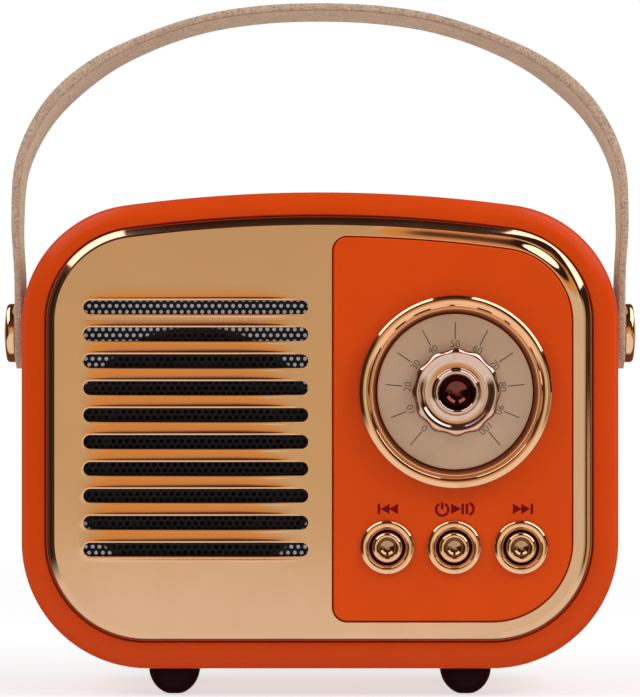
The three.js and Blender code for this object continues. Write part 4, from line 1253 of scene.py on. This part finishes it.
def along(fine, lengths, place):
    """The point and direction at a length along the line."""
    i = max(1, min(len(lengths) - 1, next((k for k, s in enumerate(lengths) if s > place), len(lengths) - 1)))
    share = (place - lengths[i - 1]) / (lengths[i] - lengths[i - 1])
    return fine[i - 1].lerp(fine[i], share), (fine[i] - fine[i - 1]).normalized()


def strap_size(point, from_end):
    """Half the band's width and thickness. It is fuller at its two shoulders and ends round."""
    swell = math.exp(-((abs(point.x) - 43) / 9) ** 2) * smooth(8, 34, point.y)
    width = STRAP_HALF_WIDTH * (1 + 0.2 * swell)
    if from_end < STRAP_HALF_WIDTH:
        width = math.sqrt(max(0.01, STRAP_HALF_WIDTH ** 2 - (STRAP_HALF_WIDTH - from_end) ** 2))
    return width, STRAP_HALF_THICK * (1 + 0.42 * swell)


def strap_section(width, thick):
    """The band's cross-section as (sideways, height) points: face, edge, inner face, edge."""
    flat, reach = max(0.0, width - EDGE_R), min(EDGE_R, width)
    points = []
    for side in (1, -1):
        points += [(side * flat * (1 - 2 * i / ACROSS_STEPS), side * thick) for i in range(ACROSS_STEPS + 1)]
        for i in range(1, EDGE_STEPS * 2):
            a = math.pi * i / (EDGE_STEPS * 2)
            height = 0 if i == EDGE_STEPS else math.copysign(thick - EDGE_R, EDGE_STEPS - i)
            points.append((-side * (flat + reach * math.sin(a)), side * (height + EDGE_R * math.cos(a))))
    return points


def strap_ring(bm, home, point, heading, place, from_end):
    """One cross-section of the band in its place, with fibrous cut edges."""
    out = Vector((heading.y, -heading.x))
    width, thick = strap_size(point, from_end)
    wave = noise.noise(Vector((place * 0.05, 3.0, 0))) * 0.12 * min(1.0, from_end / 20)
    ring = []
    for sideways, height in strap_section(width, thick):
        at = Vector((place, sideways, height))
        cut_edge = abs(sideways) > width - EDGE_R * 1.2
        fuzz = noise.noise(at * 2.3) * 0.05 + noise.noise(at * 6.1) * 0.04 if cut_edge else 0.0
        pull = 1 + fuzz / max(1.0, abs(sideways))
        spot = point + out * (height + 0.012 * noise.noise(at * 1.4))
        ring.append(bm.verts.new(home @ Vector((spot.x, sideways * pull + wave, spot.y))))
    return ring


def strap():
    """The leather band: a rounded section swept along its line, with a hole for each screw."""
    fine, lengths, places = strap_path()
    home = Matrix.Translation((0, STRAP_AXIS.y, STRAP_AXIS.z)) @ Matrix.Rotation(STRAP_LEAN, 4, "X")
    bm = bmesh.new()
    rings = []
    for place in places:
        point, heading = along(fine, lengths, place)
        from_end = min(place - places[0], places[-1] - place)
        rings.append(strap_ring(bm, home, point, heading, place, from_end))
    count = len(rings[0])
    for a, b in zip(rings, rings[1:]):
        for i in range(count):
            face = bm.faces.new([a[i], a[(i + 1) % count], b[(i + 1) % count], b[i]])
            on_edge = i % (count // 2) >= ACROSS_STEPS
            face.material_index = 1 if on_edge else (0 if i < count // 2 else 2)
    for ring in (rings[0], rings[-1]):
        bm.faces.new(ring).material_index = 1
    obj = piece("strap_band", to_mesh(bm, "strap_band"), [STRAP_FACE, STRAP_EDGE, STRAP_INNER],
                "carry_strap", ["strap"], sharp=60)
    hole = bmesh.new()
    bmesh.ops.create_cone(hole, cap_ends=True, segments=48, radius1=1.7, radius2=1.7, depth=120)
    lay = Matrix.Translation((0, STRAP_AXIS.y, STRAP_AXIS.z)) @ Matrix.Rotation(math.pi / 2, 4, "Y")
    hole.transform(Matrix.Scale(MM, 4) @ lay)
    cut(obj, hole)


# ---- pieces kept as the CAD made them

KEPT = [
    # The baffle's glow is painted light, and its black ring is painted shade.
    (baffle_painted_glow_and_shade(), ["speaker_baffle"]),
    (STEEL, ["volume_pot", "pot_shaft", "wireless_module", "speaker_top_plate", "speaker_yoke",
             "strap_nut_left", "strap_nut_right"]),
    (BOARD, ["control_board", "main_board"]),
    (BLACK_METAL, ["speaker_frame"]),
    (FOAM, ["speaker_gasket"]),
    (CONE_RUBBER, ["speaker_surround"]),
    (SPIDER, ["speaker_spider"]),
    (FERRITE, ["speaker_magnet"]),
    (PAPER, ["speaker_cone", "dust_cap"]),
    (COPPER, ["voice_coil"]),
    (BATTERY, ["battery_cell"]),
    (BLACK_PLASTIC, ["battery_cradle", *["tact_switch_" + name for name in BUTTONS],
                     *["switch_plunger_" + name for name in BUTTONS]]),
    (RED_WIRE, ["speaker_wire_red", "battery_wire_red"]),
    (BLACK_WIRE, ["speaker_wire_black", "battery_wire_black"]),
]


def dress_kept_nodes():
    for material, names in KEPT:
        for name in names:
            mesh = NODES[name].data
            mesh.materials.clear()
            mesh.materials.append(material)


# ---- studio

CAMERA_DISTANCE = 0.690  # from the case's front plane
CAMERA_HEIGHT = 0.05705
LENS = 218.1


def camera():
    data = bpy.data.cameras.new("camera")
    data.lens = LENS
    data.sensor_width = 36
    data.clip_start = 0.05
    data.clip_end = 20
    obj = new_object("camera", data)
    obj.location = (0, FRONT_Y * MM - CAMERA_DISTANCE, CAMERA_HEIGHT)
    obj.rotation_euler = (math.pi / 2, 0, 0)
    bpy.context.scene.camera = obj


FLOOR_R = 0.5


def floor():
    """A round sheet of pale paper that fades out into the white background."""
    bm = bmesh.new()
    bmesh.ops.create_circle(bm, cap_ends=True, segments=96, radius=FLOOR_R)
    mesh = bpy.data.meshes.new("floor")
    bm.to_mesh(mesh)
    bm.free()
    obj = new_object("floor", mesh)
    look = Look("floor_paper", (0.32, 0.32, 0.32, 1), 0.95, Specular_IOR_Level=0.0,
                Emission_Color=(1, 1, 1, 1), Emission_Strength=0.66)
    look.tint(look.noise(40), 0.004)
    fade = look.node("ShaderNodeMapRange", Value=look.reach(look.coords), interpolation_type="SMOOTHSTEP",
                     From_Min=FLOOR_R * 0.98, From_Max=FLOOR_R * 0.4)
    look.wire("Alpha", fade.outputs[0])
    mesh.materials.append(look.material)
    obj.visible_glossy = False


def softbox(name, place, aim, size, power):
    """A square light that neither the camera nor the polished pieces see."""
    data = bpy.data.lights.new(name, "AREA")
    data.shape = "RECTANGLE"
    data.size = data.size_y = size
    data.energy = power
    obj = new_object(name, data)
    obj.location = place
    obj.rotation_euler = (Vector(aim) - Vector(place)).to_track_quat("-Z", "Y").to_euler()
    obj.visible_camera = False
    obj.visible_glossy = False


def rgba(color):
    return (*color, 1) if isinstance(color, tuple) else color


class Sky(Wires):
    """The world's nodes."""

    def __init__(self, tree):
        self.tree = tree
        coords = self.node("ShaderNodeTexCoord").outputs["Generated"]
        self.x, self.y, self.z = self.node("ShaderNodeSeparateXYZ", [(0, coords)]).outputs

    def math(self, operation, a, b=0.0):
        return self.node("ShaderNodeMath", [(0, a), (1, b)], operation=operation).outputs[0]

    def product(self, first, *others):
        for other in others:
            first = self.math("MULTIPLY", first, other)
        return first

    def step(self, source, low, high):
        """A soft step from 0 at low to 1 at high."""
        return self.node("ShaderNodeMapRange", interpolation_type="SMOOTHSTEP", Value=source, From_Min=low,
                         From_Max=high).outputs[0]

    def between(self, source, none, full, end, gone):
        """A soft band: 0 at none, 1 from full to end, and 0 again at gone."""
        return self.product(self.step(source, none, full), self.step(source, gone, end))

    def around(self, source, stops):
        """Colours along one axis of the mirrored direction, at places from -1 to 1."""
        share = self.math("DIVIDE", self.math("ADD", source, 1.0), 2.0)
        return self.ramp(share, [((place + 1) / 2, rgba(color)) for place, color in stops])

    def mix(self, share, a, b):
        return self.node("ShaderNodeMix", [(0, share), (6, rgba(a)), (7, rgba(b))],
                         data_type="RGBA").outputs[2]


DOME = (0.62, 0.62, 0.62)  # the even light that all dull surfaces get
WHITE_BOX = (2.4, 2.5, 2.85)

# What the polished pieces mirror, by the height of the mirrored direction.
TAN = (0.81, 0.705, 0.475)
ROOM = [
    (-1.0, (1.06, 1.06, 1.06)), (-0.056, (1.06, 1.07, 1.08)), (-0.046, TAN), (0.0, TAN),
    (0.03, (0.73, 0.65, 0.48)), (0.08, (0.88, 0.57, 0.24)), (0.13, (0.94, 0.5, 0.15)),
    (0.22, (0.9, 0.48, 0.16)), (0.3, (0.62, 0.42, 0.27)), (0.4, (0.36, 0.16, 0.09)),
    (0.48, (0.12, 0.06, 0.045)), (0.7, (0.08, 0.042, 0.034)), (1.0, (0.03, 0.02, 0.016)),
]

# The side walls, from the front (-1) to the back (1).
FAR_WALL = (1.0, (0.6, 0.5, 0.36))
LEFT_WALL = [
    (-1.0, TAN), (-0.97, TAN), (-0.9, (0.12, 0.07, 0.05)), (-0.5, (0.04, 0.025, 0.02)),
    (-0.3, (0.03, 0.02, 0.018)), (-0.1, (0.15, 0.09, 0.08)), (0.05, (0.05, 0.03, 0.025)),
    (0.3, (0.07, 0.04, 0.03)), (0.4, (0.75, 0.6, 0.42)), FAR_WALL,
]
RIGHT_FRONT = [
    (-1.0, TAN), (-0.9, (0.8, 0.72, 0.55)), (-0.86, (0.16, 0.06, 0.03)), (-0.78, (0.2, 0.1, 0.06)),
    (-0.72, (0.75, 0.66, 0.5)),
]
RIGHT_WALL_HIGH = [
    *RIGHT_FRONT, (-0.64, (0.75, 0.66, 0.5)), (-0.58, (0.05, 0.03, 0.02)), (0.26, (0.05, 0.03, 0.02)),
    (0.32, (1.2, 1.0, 0.75)), FAR_WALL,
]
RIGHT_WALL_LOW = [
    *RIGHT_FRONT, (-0.66, (0.7, 0.6, 0.45)), (-0.62, (0.12, 0.06, 0.03)), (-0.48, (0.14, 0.07, 0.03)),
    (-0.42, (0.72, 0.6, 0.42)), (-0.06, (0.7, 0.58, 0.4)), (0.0, (0.12, 0.04, 0.02)),
    (0.2, (0.14, 0.05, 0.03)), (0.3, (0.75, 0.6, 0.42)), FAR_WALL,
]


def side_walls(sky, turn, right):
    """The walls' colour, and how much of them shows. turn is a direction's height in degrees."""
    wall = sky.mix(sky.step(sky.z, -0.017, -0.011), sky.around(sky.y, RIGHT_WALL_LOW),
                   sky.around(sky.y, RIGHT_WALL_HIGH))
    wall = sky.mix(right, sky.around(sky.y, LEFT_WALL), wall)
    left = sky.math("SUBTRACT", 1.0, right)
    top = sky.math("ADD", sky.product(right, sky.step(turn, 26, 18)),
                   sky.product(left, sky.step(turn, 38, 30)))
    return wall, sky.product(sky.step(sky.y, -0.995, -0.97), sky.step(turn, -30, -12), top)


def mirrored_room(sky):
    """What the polished pieces mirror: pale floor, warm room, dark ceiling and two tall white boxes."""
    turn = sky.math("MULTIPLY", sky.math("ARCTAN2", sky.z, sky.math("ABSOLUTE", sky.x)), 180 / math.pi)
    right = sky.step(sky.x, -0.01, 0.01)
    wall, share = side_walls(sky, turn, right)
    room = sky.mix(share, sky.around(sky.z, ROOM), wall)
    box_start = sky.math("ADD", 37.5, sky.math("MULTIPLY", right, -13.5))
    box_turn = sky.product(sky.step(sky.math("SUBTRACT", turn, box_start), -0.5, 0.5),
                           sky.step(turn, 78.5, 77.0))
    patches = [
        # the dark upper right of the room
        (sky.product(sky.step(sky.x, 0.12, 0.26), sky.step(sky.z, 0.1, 0.26)), (0.035, 0.02, 0.015)),
        # a pale strip to the right of the camera
        (sky.product(sky.between(sky.x, 0.042, 0.052, 0.11, 0.13), sky.step(sky.z, 0.07, 0.02)),
         (0.95, 0.96, 0.88)),
        # the dark back of the room, and below it a dark orange-brown patch: the painted reflection of the
        # orange case's shaded underside
        (sky.between(sky.y, 0.5, 0.62, 0.86, 0.97), (0.1, 0.05, 0.04)),
        (sky.product(sky.between(sky.y, -0.2, 0.1, 0.86, 0.97), sky.step(sky.z, -0.15, -0.3)),
         (0.16, 0.07, 0.04)),
        (sky.product(box_turn, sky.between(sky.y, -0.63, -0.59, 0.5, 0.55)), WHITE_BOX),
    ]
    for share, color in patches:
        room = sky.mix(share, room, color)
    return room


def world():
    """White to the camera, an even dome for dull surfaces and a studio room for mirroring ones."""
    made = bpy.data.worlds.new("studio")
    bpy.context.scene.world = made
    made.use_nodes = True
    tree = made.node_tree
    sky = Sky(tree)
    rays = tree.nodes.new("ShaderNodeLightPath")
    color = sky.mix(rays.outputs["Is Glossy Ray"], DOME, mirrored_room(sky))
    color = sky.mix(rays.outputs["Is Camera Ray"], color, (1.0, 1.0, 1.0))
    tree.links.new(color, tree.nodes["Background"].inputs["Color"])


def lights():
    centre = (0, 0, 0.05)
    softbox("left_box", (-0.62, -0.3, 0.62), centre, 0.5, 3.0)
    softbox("right_box", (0.62, -0.3, 0.62), centre, 0.5, 4.5)


camera()
case()
rear_panel()
vent_cloth()
for screw_name in SCREW_NAMES:
    rear_screw(screw_name)
front_plate()
speaker_mesh()
fascia()
dial_trim()
dial_plate()
dial_scale()
icons()
knob()
for button_name in BUTTONS:
    button_trim(button_name)
    button_top(button_name)
for foot_name in ("foot_front_left", "foot_front_right", "foot_rear_left", "foot_rear_right"):
    foot(foot_name)
for side_name, side_sign in (("left", -1), ("right", 1)):
    strap_fittings(side_name, side_sign)
sockets()
strap()
dress_kept_nodes()
floor()
world()
lights()
bpy.context.scene.view_settings.view_transform = "Standard"
